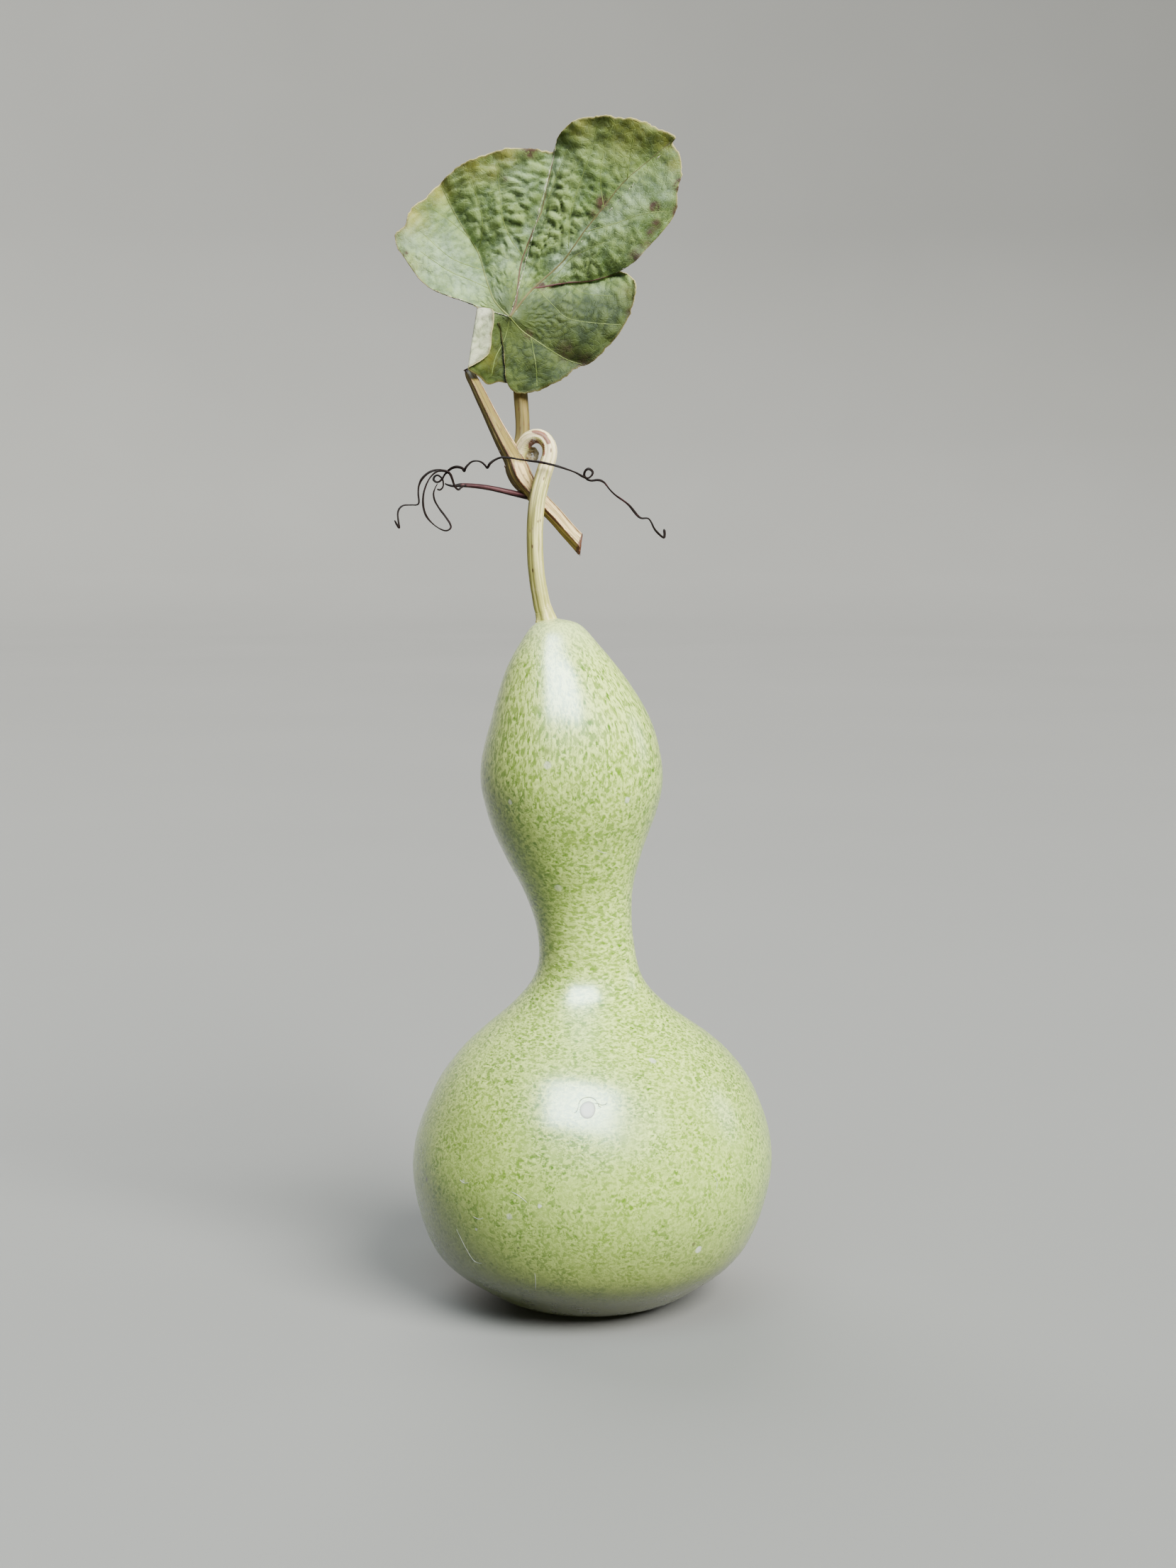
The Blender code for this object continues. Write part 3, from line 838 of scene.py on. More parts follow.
vine_finish = stem_finish(
    "vine_skin",
    skin=(0.44, 0.32, 0.085),
    deep=(0.23, 0.165, 0.035),
    face=(0.80, 0.58, 0.28),
    blush=(0.13, 0.055, 0.030),
    speck_strength=0.6,
)
add_piece("vine_runner", vine_mesh(), [vine_finish], "vine_skin", "vine_stem")

# ------------------------------------------------------------------------------------------------
# The leaf's stalk: a ribbed olive-straw stem, freckled with rust. It leaves the node behind the
# fruit's stalk, rises behind the leaf and joins its back where the main veins meet.
# ------------------------------------------------------------------------------------------------
# The stalk's middle line from the node to the leaf's back, with its radius at each point.
LEAF_STALK = [
    (-37.2, 4.4, 414.4, 3.2),
    (-36.0, 12.0, 420.0, 3.7),
    (-33.2, 15.4, 431.0, 3.5),
    (-34.1, 16.8, 450.0, 3.55),
    (-36.0, 16.8, 466.0, 3.4),
    (-37.8, 14.8, 477.4, 3.2),
    (-38.8, 11.4, 484.8, 2.6),
    (-39.0, 7.7, 487.4, 1.7),
]
LEAF_STALK_STEPS = 24
# Where the brown lines of its ribs lie round it, in degrees from the front.
LEAF_STALK_LINES = (-66, 50, -18, 96, -110)


def leaf_stalk_mesh():
    """The leaf's stalk swept along its route, with six ribs and brown lines along them."""
    bm = bmesh.new()
    middle, radii = route_lines(LEAF_STALK, LEAF_STALK_STEPS)

    def shape(ring, along, angle, out, radius):
        ribs = 0.05 * math.cos(6 * angle + 0.4) + 0.014 * math.cos(19 * angle)
        return radius * (1 + ribs + 0.03 * noise.noise((middle[ring] + out * radius) * 100.0))

    verts, _ = sweep(bm, middle, radii, 48, shape)
    tones = bm.verts.layers.float["tone"]
    grain = bm.verts.layers.float_vector["grain"]
    for vert in verts:
        angle = math.degrees(math.atan2(vert[grain].y, vert[grain].x))
        rib_line = max(hill(angle, turn, 7.0) for turn in LEAF_STALK_LINES)
        vert[tones] = 0.08 + 0.42 * rib_line
    bmesh.ops.recalc_face_normals(bm, faces=bm.faces)
    return bm


leaf_stalk_finish = stem_finish(
    "leaf_stalk_skin",
    skin=(0.26, 0.19, 0.065),
    deep=(0.15, 0.115, 0.03),
    face=(0.33, 0.25, 0.10),
    blush=(0.10, 0.045, 0.028),
    speck_strength=0.9,
    roughness=0.55,
)
add_piece("leaf_stalk_stem", leaf_stalk_mesh(), [leaf_stalk_finish], "stem_skin", "leaf_stalk")

# ------------------------------------------------------------------------------------------------
# The leaf: one soft blade, creased at its main veins and blistered between them, with a powdery
# mildew and a browned rim. Its right basal lobe laps over the left one, whose edge is folded over.
# ------------------------------------------------------------------------------------------------
LEAF_JOINT = Vector((-39.0, 5.0, 486.6))
# The rim of the blade laid flat, round from the near side of the slit to its far side.
LEAF_RIM = [
    (-6, -2.5), (-4.4, -8.5), (-3.0, -16.3), (-2.4, -24), (-1.6, -31), (2, -35.6), (11, -36),
    (19, -33), (26.9, -28.9), (32.5, -24), (37.8, -22.4), (46.7, -15.3), (53.6, -7.5), (58, 0.3),
    (60.5, 8), (61, 15.7), (58.5, 20.4), (53.5, 22.3), (59.4, 25.6), (67.3, 33.1), (74.1, 40.8),
    (80.6, 50.4), (81.4, 61), (83, 66.7), (82.4, 75.3), (78.6, 81.8), (79.6, 85), (71, 88.6),
    (65.2, 91.4), (55.4, 93), (46.6, 93.7), (40.7, 93.4), (32.9, 92.7), (27.1, 89.1), (23.1, 84.6),
    (21.2, 79.0), (13.4, 79.8), (6.5, 80.3), (-3.3, 79.4), (-13.1, 76.7), (-22.9, 72.9), (-30.7, 67.7),
    (-39.6, 58.9), (-45.6, 53.3), (-49.3, 47.5), (-50.6, 43.2), (-55, 38.9), (-54.1, 33.1),
    (-49.7, 26.4), (-44.9, 19.6), (-38.5, 13.6), (-30.8, 10.3), (-24, 8.2), (-15.8, 4.6), (-21.5, 4.3),
    (-25.1, 3.0), (-26.8, -2.7), (-27.2, -8.5), (-28.5, -15.3), (-26.9, -20.1), (-20.8, -25.3),
    (-14.6, -28.9), (-10.7, -32.3), (-5.7, -30.9), (-1.8, -31.4), (3.5, -31), (5, -27),
]  # fmt: skip
LEFT_VEIN = [
    (0, 0), (-5, 5), (-8.5, 9.9), (-11.9, 19.6), (-15.8, 32.2), (-24, 45.6), (-28.9, 54.3),
    (-33.5, 64),
]  # fmt: skip
NECK_VEIN = [
    (0, 0), (2.8, 7), (4.4, 22.5), (6.3, 30.2), (11.3, 42.7), (15.2, 51.4), (20.2, 71.5), (21.6, 78),
]  # fmt: skip
MID_VEIN = [(0, 0), (11.2, 14.8), (26, 28.3), (36.8, 42.7), (45.6, 53.3), (56.4, 65.8), (77.5, 82.5)]
FOLD_VEIN = [(11.2, 14.8), (17.1, 15.9), (28, 17.7), (40.8, 18.6), (53, 22)]
LOW_VEIN = [(0, 0), (5.2, -5.6), (11.1, -9.9), (25.9, -19.2), (35, -22.4)]
# Each crease: the vein that it follows, how deep it is, and how far its banks reach.
CREASES = [
    (LEFT_VEIN, 12.0, 11.0),
    (NECK_VEIN, 6.5, 9.0),
    (MID_VEIN, 9.0, 11.0),
    (FOLD_VEIN, 10.0, 9.0),
    (LOW_VEIN, 3.0, 6.0),
]
SIDE_VEINS = [
    [(11.3, 42.7), (17.2, 54.3), (24.1, 70.5), (28, 80)],
    [(28.5, 34), (28.8, 40), (29.4, 49.5), (32.9, 61), (36.8, 71.5), (40.7, 82), (42.4, 90)],
    [(36.8, 41.8), (50.6, 44.7), (63.3, 48.5), (76, 50)],
    [(13.2, 14.6), (21, 6.1), (28.9, -0.7), (46.7, -3.6), (54, -4)],
    [(10.2, -9.6), (12.6, -23.1), (13.1, -33)],
    [(-15.8, 32.2), (-13.8, 39.9), (-13.4, 47.5), (-15.1, 55.2), (-19.5, 68)],
    [(6.3, 30.2), (0.5, 37.9), (-3.4, 47.5), (-4.4, 57.1), (-6.3, 74)],
    [(56.9, 65.8), (58.3, 76.3), (60.3, 88)],
    [(-9.8, 14), (-18.3, 17.8), (-30.1, 22.6), (-43, 31.2)],
    [(-13, 23.5), (-28.1, 28.4), (-42, 40)],
    [(17, 16.2), (24, 23), (31, 30), (46, 36)],
    [(45.6, 53.3), (44, 66), (46, 80), (50, 90)],
    [(28, 17.7), (36, 12), (50, 10)],
    [(-20, 39), (-28, 46), (-37, 52)],
    [(0, 0), (-2.5, -10), (-7, -19), (-9, -28)],
]
# The folded edge's line, across for a height, how round the fold is, and how far it has sprung open.
FOLD_TOP = (-14.3, 4.9)
FOLD_SLOPE = 0.136
FOLD_BEND = 1.2
FOLD_SPRING = 0.16
RIM_STEPS = 7
LEAF_RINGS = 88
# How far the blade leans back and cups, and how far from the joint its creases reach full depth.
LEAF_LEAN = 0.17
LEAF_CUP = 0.0016
CREASE_FULL = 36.0
LEAF_THICKNESS = 0.35
# How far apart the blisters lie outwards, and how many lie in each radian round the joint.
BLISTER_STEP = 4.4
BLISTERS_ROUND = 5.6


def as_line(points):
    return [Vector(p) for p in points]


CREASES = [(as_line(line), deep, reach) for line, deep, reach in CREASES]
ALL_VEINS = [line for line, _, _ in CREASES] + [as_line(line) for line in SIDE_VEINS]


def blisters(place):
    """The leaf's blisters, 0 at their edges and 1 on top: rungs across each lobe, none at the joint."""
    out = place.length
    turn = math.atan2(place.y, place.x)
    steps_out = out / BLISTER_STEP
    rungs = Vector((steps_out, turn * BLISTERS_ROUND + 0.10 * steps_out, 0.0))
    rungs += Vector((noise.noise(rungs * 1.3), noise.noise(rungs * 1.3 + Vector((7, 3, 1))), 0)) * 0.4
    reach, _ = noise.voronoi(rungs)
    height = min(1.0, (reach[1] - reach[0]) * 1.9)
    return max(height * (2 - height), min(1.0, 1.8 - out / 8.0))


def leaf_depth(across, up):
    """How far back the blade lies at a place: leaning back, cupped, and creased at its main veins."""
    place = Vector((across, up))
    out = place.length
    depth = LEAF_LEAN * up - LEAF_CUP * out * out
    for line, crease, reach in CREASES:
        away = math.hypot(distance_to_line(place, line), 1.0)
        depth += crease * min(1.0, out / CREASE_FULL) * math.exp(-away / reach)
    # Just below the fold vein the blade drops back behind its own crease.
    fold_up = station_value(FOLD_VEIN, across) if 12.0 < across < 60.0 else up
    under_fold = max(0.0, fold_up - up)
    drop = min(1.0, under_fold / 1.2) * math.exp(-under_fold / 9.0)
    depth += 3.2 * drop * min(1.0, (across - 11.0) / 9.0)
    # The upper and lower left rims curl forward, the right rim curls back, and the foot leans back.
    top_curl = max(0.0, up - 68.0 - 0.1 * across) / 24.0
    low_tilt = max(0.0, 10.0 - up)
    left_curl = max(0.0, 26.0 - up - 0.35 * (across + 55.0)) * max(0.0, min(1.0, (-across - 8.0) / 14.0))
    right_curl = max(0.0, across - 0.55 * up - 34.0) / 20.0 * max(0.0, min(1.0, (up - 22.0) / 12.0))
    return (
        depth
        - 6.0 * top_curl * top_curl
        + 0.08 * low_tilt
        + 0.0042 * low_tilt * low_tilt
        - 0.38 * left_curl
        + 7.0 * right_curl * right_curl
    )


def leaf_relief(place, rim_share):
    """How far the blade stands forward for its blisters and its wavy edge."""
    vein_away = min(distance_to_line(place, line) for line in ALL_VEINS)
    middle_lobe = hill((place - Vector((24, 50))).length, 0.0, 26.0)
    top_left = hill((place - Vector((-12, 50))).length, 0.0, 24.0)
    height = 0.7 + 1.8 * middle_lobe + 0.5 * top_left - 0.45 * max(0.0, min(1.0, -place.y / 12.0))
    relief = height * blisters(place) * min(1.0, vein_away / 2.2)
    relief += 1.2 * noise.noise(Vector((place.x, place.y, 3.0)) * 0.075)
    return relief + rim_share**6 * 1.6 * noise.noise(Vector((place.x, place.y, 9.0)) * 0.16)


# Patches on the blade: where each lies, how far it reaches, and how strong it is.
MILDEW = [
    (-34, 28, 15, 0.5), (-22, 17, 11, 0.5), (-46, 36, 8, 0.45), (1, 34, 6, 0.35), (6, 24, 5, 0.25),
    (24, 27, 4.5, 0.85), (30, 34, 3.5, 0.7), (9.5, 42, 3.0, 0.5), (38, 42, 5, 0.35), (60, 56, 6, 0.45),
    (50, 48, 7, 0.3), (24, 10, 11, 0.14), (42, 13, 4.0, 0.5), (2, 1, 4, 0.5), (-6, 11, 4, 0.4),
    (22, 74, 4, 0.6), (18, 63, 3.5, 0.4), (14, 50, 3.5, 0.2), (6, 66, 9, 0.2), (76, 60, 6, 0.25),
    (-8, 27, 4, 0.2), (34, 36, 4, 0.3), (10, 8, 6, 0.25), (-3, 27, 4, 0.35), (45, 8, 8, 0.1),
]  # fmt: skip
BROWNED = [
    (45, 55, 4, 0.75), (41, 50, 3, 0.5), (82, 50, 3.4, 1.0), (82, 62, 3.0, 1.0), (70, 52, 2.8, 0.9),
    (71, 44, 3.2, 0.6), (10, 79, 4, 0.8), (-2, 66, 2.2, 0.45), (61, 29, 4, 0.6), (-52, 44, 4, 0.4),
    (-50, 30, 2.0, 0.6), (15, 16.0, 2.6, 0.8), (20, 16.9, 2.2, 0.7), (25, 17.6, 2.0, 0.6),
    (27, -16, 7, 0.4), (9, -8, 3, 0.5), (68, 40, 2.5, 0.6), (36, -21, 6, 0.4), (33, 31, 3.5, 0.35),
    (66, 34, 4, 0.5), (59, 2, 4, 0.4),
]  # fmt: skip
# Yellowed patches of the blade; the one at (-9, -20) is painted light shining through the left basal lobe.
YELLOWED_AND_LIT_THROUGH = [
    (-50, 47, 9, 0.85), (-36, 62, 7, 0.65), (-18, 73, 7, 0.7), (-2, 78, 6, 0.7), (58, 92, 13, 0.5),
    (76, 84, 7, 0.6), (-9, -20, 6, 0.5), (-47, 22, 6, 0.4), (34, 91, 8, 0.5), (58, 12, 4, 0.3),
    (-8, 70, 4, 0.5), (80, 72, 4, 0.4),
]  # fmt: skip


def patch_share(place, patches_here):
    """How much of a list of round patches is at a place, from 0 to 1."""
    share = 0.0
    for x, z, reach, strength in patches_here:
        away = math.hypot(place.x - x, place.y - z) / reach
        if away < 2.5:
            share = max(share, strength * math.exp(-away * away))
    return share


def fold_over(place):
    """Where a place of the flat blade comes to lie when its lower left edge is folded forward."""
    line = FOLD_TOP[0] - FOLD_SLOPE * (FOLD_TOP[1] - place.y)
    beyond = line - place.x
    if place.y > FOLD_TOP[1] or beyond <= 0.0:
        return place, 0.0
    turn = min(math.pi, beyond / FOLD_BEND)
    loose = max(0.0, beyond - math.pi * FOLD_BEND)
    across = line - FOLD_BEND * math.sin(turn) + loose
    return Vector((across, place.y)), FOLD_BEND * (1 - math.cos(turn)) + FOLD_SPRING * loose


# What each point of the blade carries, from 0 to 1, but for the rim, its distance in millimetres.
LEAF_MARKS = ("mildew", "browned", "yellowed_and_lit_through", "rim", "blister", "deep_green_and_shade")


def leaf_mesh():
    """The blade as a grid fanned out from its joint to its rim, folded, creased and blistered."""
    bm = bmesh.new()
    flat = bm.loops.layers.uv.new("flat")
    marks = {name: bm.verts.layers.float.new(name) for name in LEAF_MARKS}
    rim = smooth_curve([(x, z, 0) for x, z in LEAF_RIM], RIM_STEPS)
    rim_count = len(rim) - 1
    verts = bmesh.ops.create_grid(bm, x_segments=rim_count, y_segments=LEAF_RINGS, size=0.5)["verts"]
    for vert in verts:
        step = round((vert.co.x + 0.5) * rim_count)
        share = vert.co.y + 0.5
        edge = rim[step].xy
        teeth = 0.7 * noise.noise(Vector((step * 0.55, 0, 0)))
        teeth += 0.8 * noise.noise(Vector((step * 0.13, 5, 0)))
        reach = edge.length + (teeth if 5 * RIM_STEPS < step < rim_count - 14 * RIM_STEPS else 0.0)
        flat_place = edge.normalized() * reach * share
        place, forward = fold_over(flat_place)
        near_slit = max(0.0, 1 - step / (6.0 * RIM_STEPS)) ** 0.7
        far_slit = max(0.0, 1 - (rim_count - step) / (5.0 * RIM_STEPS)) ** 0.7
        lap = (1.5 * near_slit - 1.0 * far_slit) * min(1.0, place.length / 12.0)
        relief = leaf_relief(flat_place, share) * (1.0 if forward == 0.0 else 0.35)
        crumple = 1.1 * noise.noise(Vector((*flat_place, 4.0)) * 0.32) * min(1.0, forward)
        depth = leaf_depth(place.x, place.y) - relief - forward - lap - crumple
        vert.co = (LEAF_JOINT + Vector((place.x, depth, place.y))) * MM
        vert[marks["mildew"]] = patch_share(flat_place, MILDEW)
        vert[marks["browned"]] = patch_share(flat_place, BROWNED)
        vert[marks["yellowed_and_lit_through"]] = patch_share(flat_place, YELLOWED_AND_LIT_THROUGH)
        vert[marks["rim"]] = (1 - share) * reach
        vert[marks["blister"]] = blisters(flat_place)
        # The lower lobes: partly a deeper green of their own, partly painted shade where they face down.
        beside = max((flat_place.x + 14.0) / 12.0, (2.0 - flat_place.y) / 6.0)
        vert[marks["deep_green_and_shade"]] = max(0.0, min(1.0, (19.0 - flat_place.y) / 12.0, beside))
        for loop in vert.link_loops:
            loop[flat].uv = flat_place * MM
    bmesh.ops.remove_doubles(bm, verts=verts, dist=0.001 * MM)
    bmesh.ops.recalc_face_normals(bm, faces=bm.faces)
    if sum(face.normal.y for face in bm.faces) > 0:
        bmesh.ops.reverse_faces(bm, faces=bm.faces)
    return bm


def leaf_finish(name, deep, light, powder, powder_share, deep_green_and_shade_strength, sheen):
    """Leaf skin: small veins and blisters, mildew, yellowing and browned patches, and a dried rim, with
    painted shade and highlight on the blisters, painted light through one patch and painted shade on the
    lower lobes.
    """
    finish, shader = new_finish(name, 0.6, Specular_IOR_Level=0.08, Sheen_Weight=sheen, Sheen_Roughness=0.5)
    flat = node(finish, "UVMap", uv_map="flat").outputs["UV"]
    mark = {kind: node(finish, "Attribute", attribute_name=kind).outputs["Fac"] for kind in LEAF_MARKS}
    broad = cloud(finish, flat, 60.0, 4.0, 0.6)
    grit = cloud(finish, flat, 900.0, 4.0, 0.65)
    wool = cloud(finish, flat, 330.0, 5.0, 0.7)
    bent = node(finish, "TexNoise", {"Vector": flat, "Scale": 300.0}).outputs["Color"]
    bent = node(
        finish, "VectorMath", {0: bent, 1: (0.0016, 0.0016, 0.0), 2: flat}, operation="MULTIPLY_ADD"
    ).outputs["Vector"]
    veinlets = node(finish, "TexVoronoi", {"Vector": bent, "Scale": 430.0}, feature="DISTANCE_TO_EDGE")
    veinlets = eased(finish, veinlets.outputs["Distance"], 0.0, 0.10, 1.0, 0.0)
    colour = mixed(finish, eased(finish, broad, 0.35, 0.65), deep, light)
    # Painted shade in the hollows between the blisters, and a painted highlight on their tops.
    blister_groove_shade = eased(finish, mark["blister"], 0.0, 0.5, 0.75, 0.0)
    colour = mixed(finish, blister_groove_shade, colour, [c * 0.5 for c in deep])
    raised = eased(finish, mark["blister"], 0.6, 1.0, 0.0, 0.3)
    colour = mixed(finish, raised, colour, [c * 1.5 for c in light])
    colour = mixed(finish, times(finish, veinlets, 0.12), colour, [min(1.0, c * 1.6) for c in light])
    # Sallow yellowing, and at one patch painted light shining through the blade.
    sallow_and_lit_through = mixed(finish, eased(finish, broad, 0.3, 0.7), (0.17, 0.18, 0.02), (0.36, 0.32, 0.06))
    colour = mixed(finish, mark["yellowed_and_lit_through"], colour, sallow_and_lit_through)
    dusty = times(finish, mark["mildew"], eased(finish, wool, 0.32, 0.62, 0.50, 1.0))
    dusty = times(finish, dusty, powder_share)
    colour = mixed(finish, dusty, colour, powder)
    bloom_here = eased(finish, wool, 0.42, 0.72, 0.02, 0.17 * powder_share)
    colour = mixed(finish, bloom_here, colour, powder)
    colour = mixed(finish, eased(finish, mark["rim"], 1.7, 0.4, 0.0, 0.45), colour, (0.16, 0.12, 0.04))
    colour = mixed(finish, eased(finish, mark["rim"], 0.50, 0.30, 0.0, 0.75), colour, (0.42, 0.36, 0.16))
    # Painted shade, over a deeper green of their own, darkens the lower lobes.
    deep_green_and_shade = times(finish, mark["deep_green_and_shade"], deep_green_and_shade_strength)
    colour = mixed(finish, deep_green_and_shade, colour, (0.29, 0.28, 0.20), "MULTIPLY")
    withered = eased(finish, mark["browned"], 0.10, 0.60)
    dead = times(finish, withered, eased(finish, wool, 0.34, 0.56, 0.15, 0.95))
    colour = mixed(finish, dead, colour, (0.060, 0.032, 0.024))
    wire(finish, colour, shader.inputs["Base Color"])
    relief = plus(finish, times(finish, grit, 0.5), times(finish, veinlets, -0.4))
    relief = plus(finish, relief, times(finish, dusty, 0.6))
    roughen(finish, shader, relief, 0.6, 0.35)
    return finish


leaf_top = leaf_finish(
    "leaf_upper",
    deep=(0.062, 0.100, 0.020),
    light=(0.175, 0.240, 0.070),
    powder=(0.37, 0.49, 0.34),
    powder_share=1.0,
    deep_green_and_shade_strength=0.88,
    sheen=0.0,
)
leaf_under = leaf_finish(
    "leaf_underside",
    deep=(0.24, 0.27, 0.15),
    light=(0.42, 0.42, 0.30),
    powder=(0.60, 0.57, 0.47),
    powder_share=0.6,
    deep_green_and_shade_strength=0.0,
    sheen=0.2,
)
leaf_bm = leaf_mesh()
leaf_tree = BVHTree.FromBMesh(leaf_bm)
leaf = add_piece("leaf_lamina", leaf_bm, [leaf_top, leaf_under], "leaf_face", "leaf_blade")
leaf_skin = leaf.modifiers.new("thickness", "SOLIDIFY")
leaf_skin.thickness = LEAF_THICKNESS * MM
leaf_skin.offset = -1.0
leaf_skin.material_offset = 1
leaf_skin.material_offset_rim = 1

# ------------------------------------------------------------------------------------------------
# The leaf's veins: cords that run out from the stalk's joint. On the upper face only a thin pale
# or purplish line of each shows, at the bottom of its crease. Behind they stand out as round ribs.
# ------------------------------------------------------------------------------------------------
# Each main vein with its thickness at the joint and how purple it is, in the creases' order.
MAIN_CORDS = [(0.72, 0.2), (0.75, 0.85), (0.85, 0.6), (0.62, 1.0), (0.62, 0.1)]
SIDE_CORD = 0.28
VEIN_TIP = 0.18


def vein_mesh():
    """Cords laid along the veins of the finished blade, sunk a little into its upper face."""
    bm = bmesh.new()
    cords = [(line, thick, purple) for (line, _, _), (thick, purple) in zip(CREASES, MAIN_CORDS)]
    cords += [(line, SIDE_CORD, 0.0) for line in ALL_VEINS[len(CREASES) :]]
    for line, thick, purple in cords:
        flat_line = smooth_curve([(p.x, p.y, 0) for p in line], 14)
        middle = []
        radii = []
        for i, point in enumerate(flat_line):
            radius = thick + (VEIN_TIP - thick) * i / (len(flat_line) - 1)
            over = Vector(((LEAF_JOINT.x + point.x) * MM, -0.1, (LEAF_JOINT.z + point.y) * MM))
            place, _, _, _ = leaf_tree.ray_cast(over, Vector((0, 1, 0)))
            if place is None:
                break
            middle.append(place + Vector((0, radius * 0.6 * MM, 0)))
            radii.append(radius * MM)
        sweep(bm, middle, radii, 10, tone=purple)
    bmesh.ops.recalc_face_normals(bm, faces=bm.faces)
    return bm


vein_finish, vein_shader = new_finish("leaf_vein", 0.6, Specular_IOR_Level=0.1)
vein_place = node(vein_finish, "TexCoord").outputs["Object"]
vein_purple = node(vein_finish, "Attribute", attribute_name="tone").outputs["Fac"]
vein_tone = cloud(vein_finish, vein_place, 240.0, 3.0)
vein_tone = eased(vein_finish, vein_tone, 0.35, 0.65)
vein_colour = mixed(vein_finish, vein_tone, (0.105, 0.150, 0.030), (0.20, 0.25, 0.075))
vein_colour = mixed(vein_finish, vein_purple, vein_colour, (0.095, 0.038, 0.034))
wire(vein_finish, vein_colour, vein_shader.inputs["Base Color"])
add_piece("leaf_veins", vein_mesh(), [vein_finish], "leaf_face")

# ------------------------------------------------------------------------------------------------
# The tendril: a dried purple-brown stalk that splits into wiry arms. They hooked and coiled as
# they looked for a hold, and have dried nearly black, flattened and a little twisted.
# ------------------------------------------------------------------------------------------------
TENDRIL_STALK = [
    (-28.4, 4.6, 399.6, 1.45),
    (-34.0, 2.6, 400.9, 1.45),
    (-39.9, 0.6, 402.3, 1.35),
    (-49.3, -0.6, 404.3, 1.2),
    (-56.3, -1.6, 405.2, 1.1),
    (-61.0, -2.4, 405.5, 1.0),
    (-63.5, -3.0, 405.5, 0.85),
    (-66.1, -3.2, 405.1, 0.6),
    (-68.5, -3.2, 405.5, 0.5),
    (-70.4, -3.0, 406.3, 0.35),
]
# Each arm: the points that it passes, then its radius at its start and at its end.
TENDRIL_ARMS = [
    (
        [
            (-71.8, -3, 408.0), (-70.3, -4, 410.7), (-68.3, -6, 412.6), (-66.3, -7, 413.8),
            (-63.9, -8, 414.2), (-61.6, -8, 413.5), (-60.7, -8, 412.3), (-59.7, -9, 414.1),
            (-57.4, -9, 416.4), (-54.9, -10, 417.0), (-52.5, -10, 416.5), (-50.7, -10, 415.1),
            (-49.5, -10, 413.7), (-48.2, -11, 415.6), (-45.9, -11, 417.4), (-42.6, -12, 418.6),
            (-38.8, -12.5, 418.5), (-34.3, -13, 417.7), (-29.4, -13, 417.0), (-24.4, -13, 416.4),
            (-18.3, -13, 415.1), (-12.8, -13, 413.5), (-7.2, -12, 411.5), (-3.1, -12, 409.3),
            (-0.9, -11, 408.8), (0.9, -10.5, 410.3), (1.1, -10, 412.0), (-0.6, -10, 413.2),
            (-2.2, -9.5, 412.4), (-2.8, -9, 410.3), (-1.6, -9, 408.4), (0.5, -9, 407.6),
            (3.9, -9, 407.9), (6.7, -8.5, 406.8), (9.4, -8, 403.5), (12.3, -7, 400.7),
            (18.5, -6, 396.2), (23.9, -5, 390.1), (28.5, -4.5, 389.3), (31.6, -4, 384.0),
            (35.5, -3.8, 380.4), (36.2, -3.5, 381.8), (35.9, -3.4, 384.5),
        ],
        0.56,
        0.42,
    ),
    (
        [
            (-60.0, -3.2, 405.6), (-61.4, -3.4, 405.1), (-62.7, -4.5, 404.2), (-63.8, -5, 403.4),
            (-65.2, -5.6, 404.6), (-66.0, -6.2, 406.5), (-66.6, -6.8, 408.6), (-67.5, -7.4, 410.7),
            (-69.1, -8, 412.0), (-71.8, -8.8, 412.4), (-74.1, -9.4, 411.8), (-76.9, -10.2, 409.2),
            (-79.1, -10.8, 405.0), (-80.3, -11.2, 400.4), (-80.3, -11.4, 395.2), (-78.9, -11, 390.6),
            (-75.7, -10.4, 386.8), (-72.0, -9.6, 384.3), (-69.3, -8.8, 383.7), (-67.4, -8.2, 385.0),
            (-67.9, -7.6, 387.3), (-70.2, -7, 390.7), (-73.0, -6.6, 394.4), (-75.1, -6.2, 398.1),
            (-75.7, -6, 401.4), (-74.9, -5.8, 404.2), (-73.8, -5.4, 406.2),
        ],
        0.50,
        0.38,
    ),
    (
        [
            (-68.1, -8, 411.7), (-70.0, -8, 412.4), (-72.8, -7.6, 412.8), (-75.7, -7.2, 412.4),
            (-78.5, -6.8, 411.1), (-81.3, -6.4, 408.4), (-82.8, -6, 405.1), (-83.1, -6, 401.4),
            (-82.8, -6.2, 397.4), (-83.8, -6.4, 396.1), (-86.7, -6.8, 396.0), (-90.1, -7.4, 395.8),
            (-92.1, -8, 394.3), (-92.9, -8.6, 391.8), (-92.6, -9.2, 388.3), (-92.1, -9.8, 385.1),
            (-93.4, -10, 386.8), (-94.3, -10.2, 388.7),
        ],
        0.44,
        0.38,
    ),
    (
        [
            (-68.7, -7, 411.6), (-70.1, -6.6, 410.7), (-71.3, -6.2, 408.8), (-72.8, -5.8, 407.3),
            (-74.4, -5.4, 407.0), (-75.7, -5, 408.2), (-75.2, -4.6, 409.7), (-73.8, -4.4, 410.3),
            (-72.3, -4.2, 409.4), (-71.3, -3.8, 407.9), (-71.1, -3.4, 405.6), (-71.8, -3.2, 404.0),
            (-73.0, -3, 403.3), (-74.2, -3, 403.7),
        ],
        0.56,
        0.42,
    ),
]  # fmt: skip


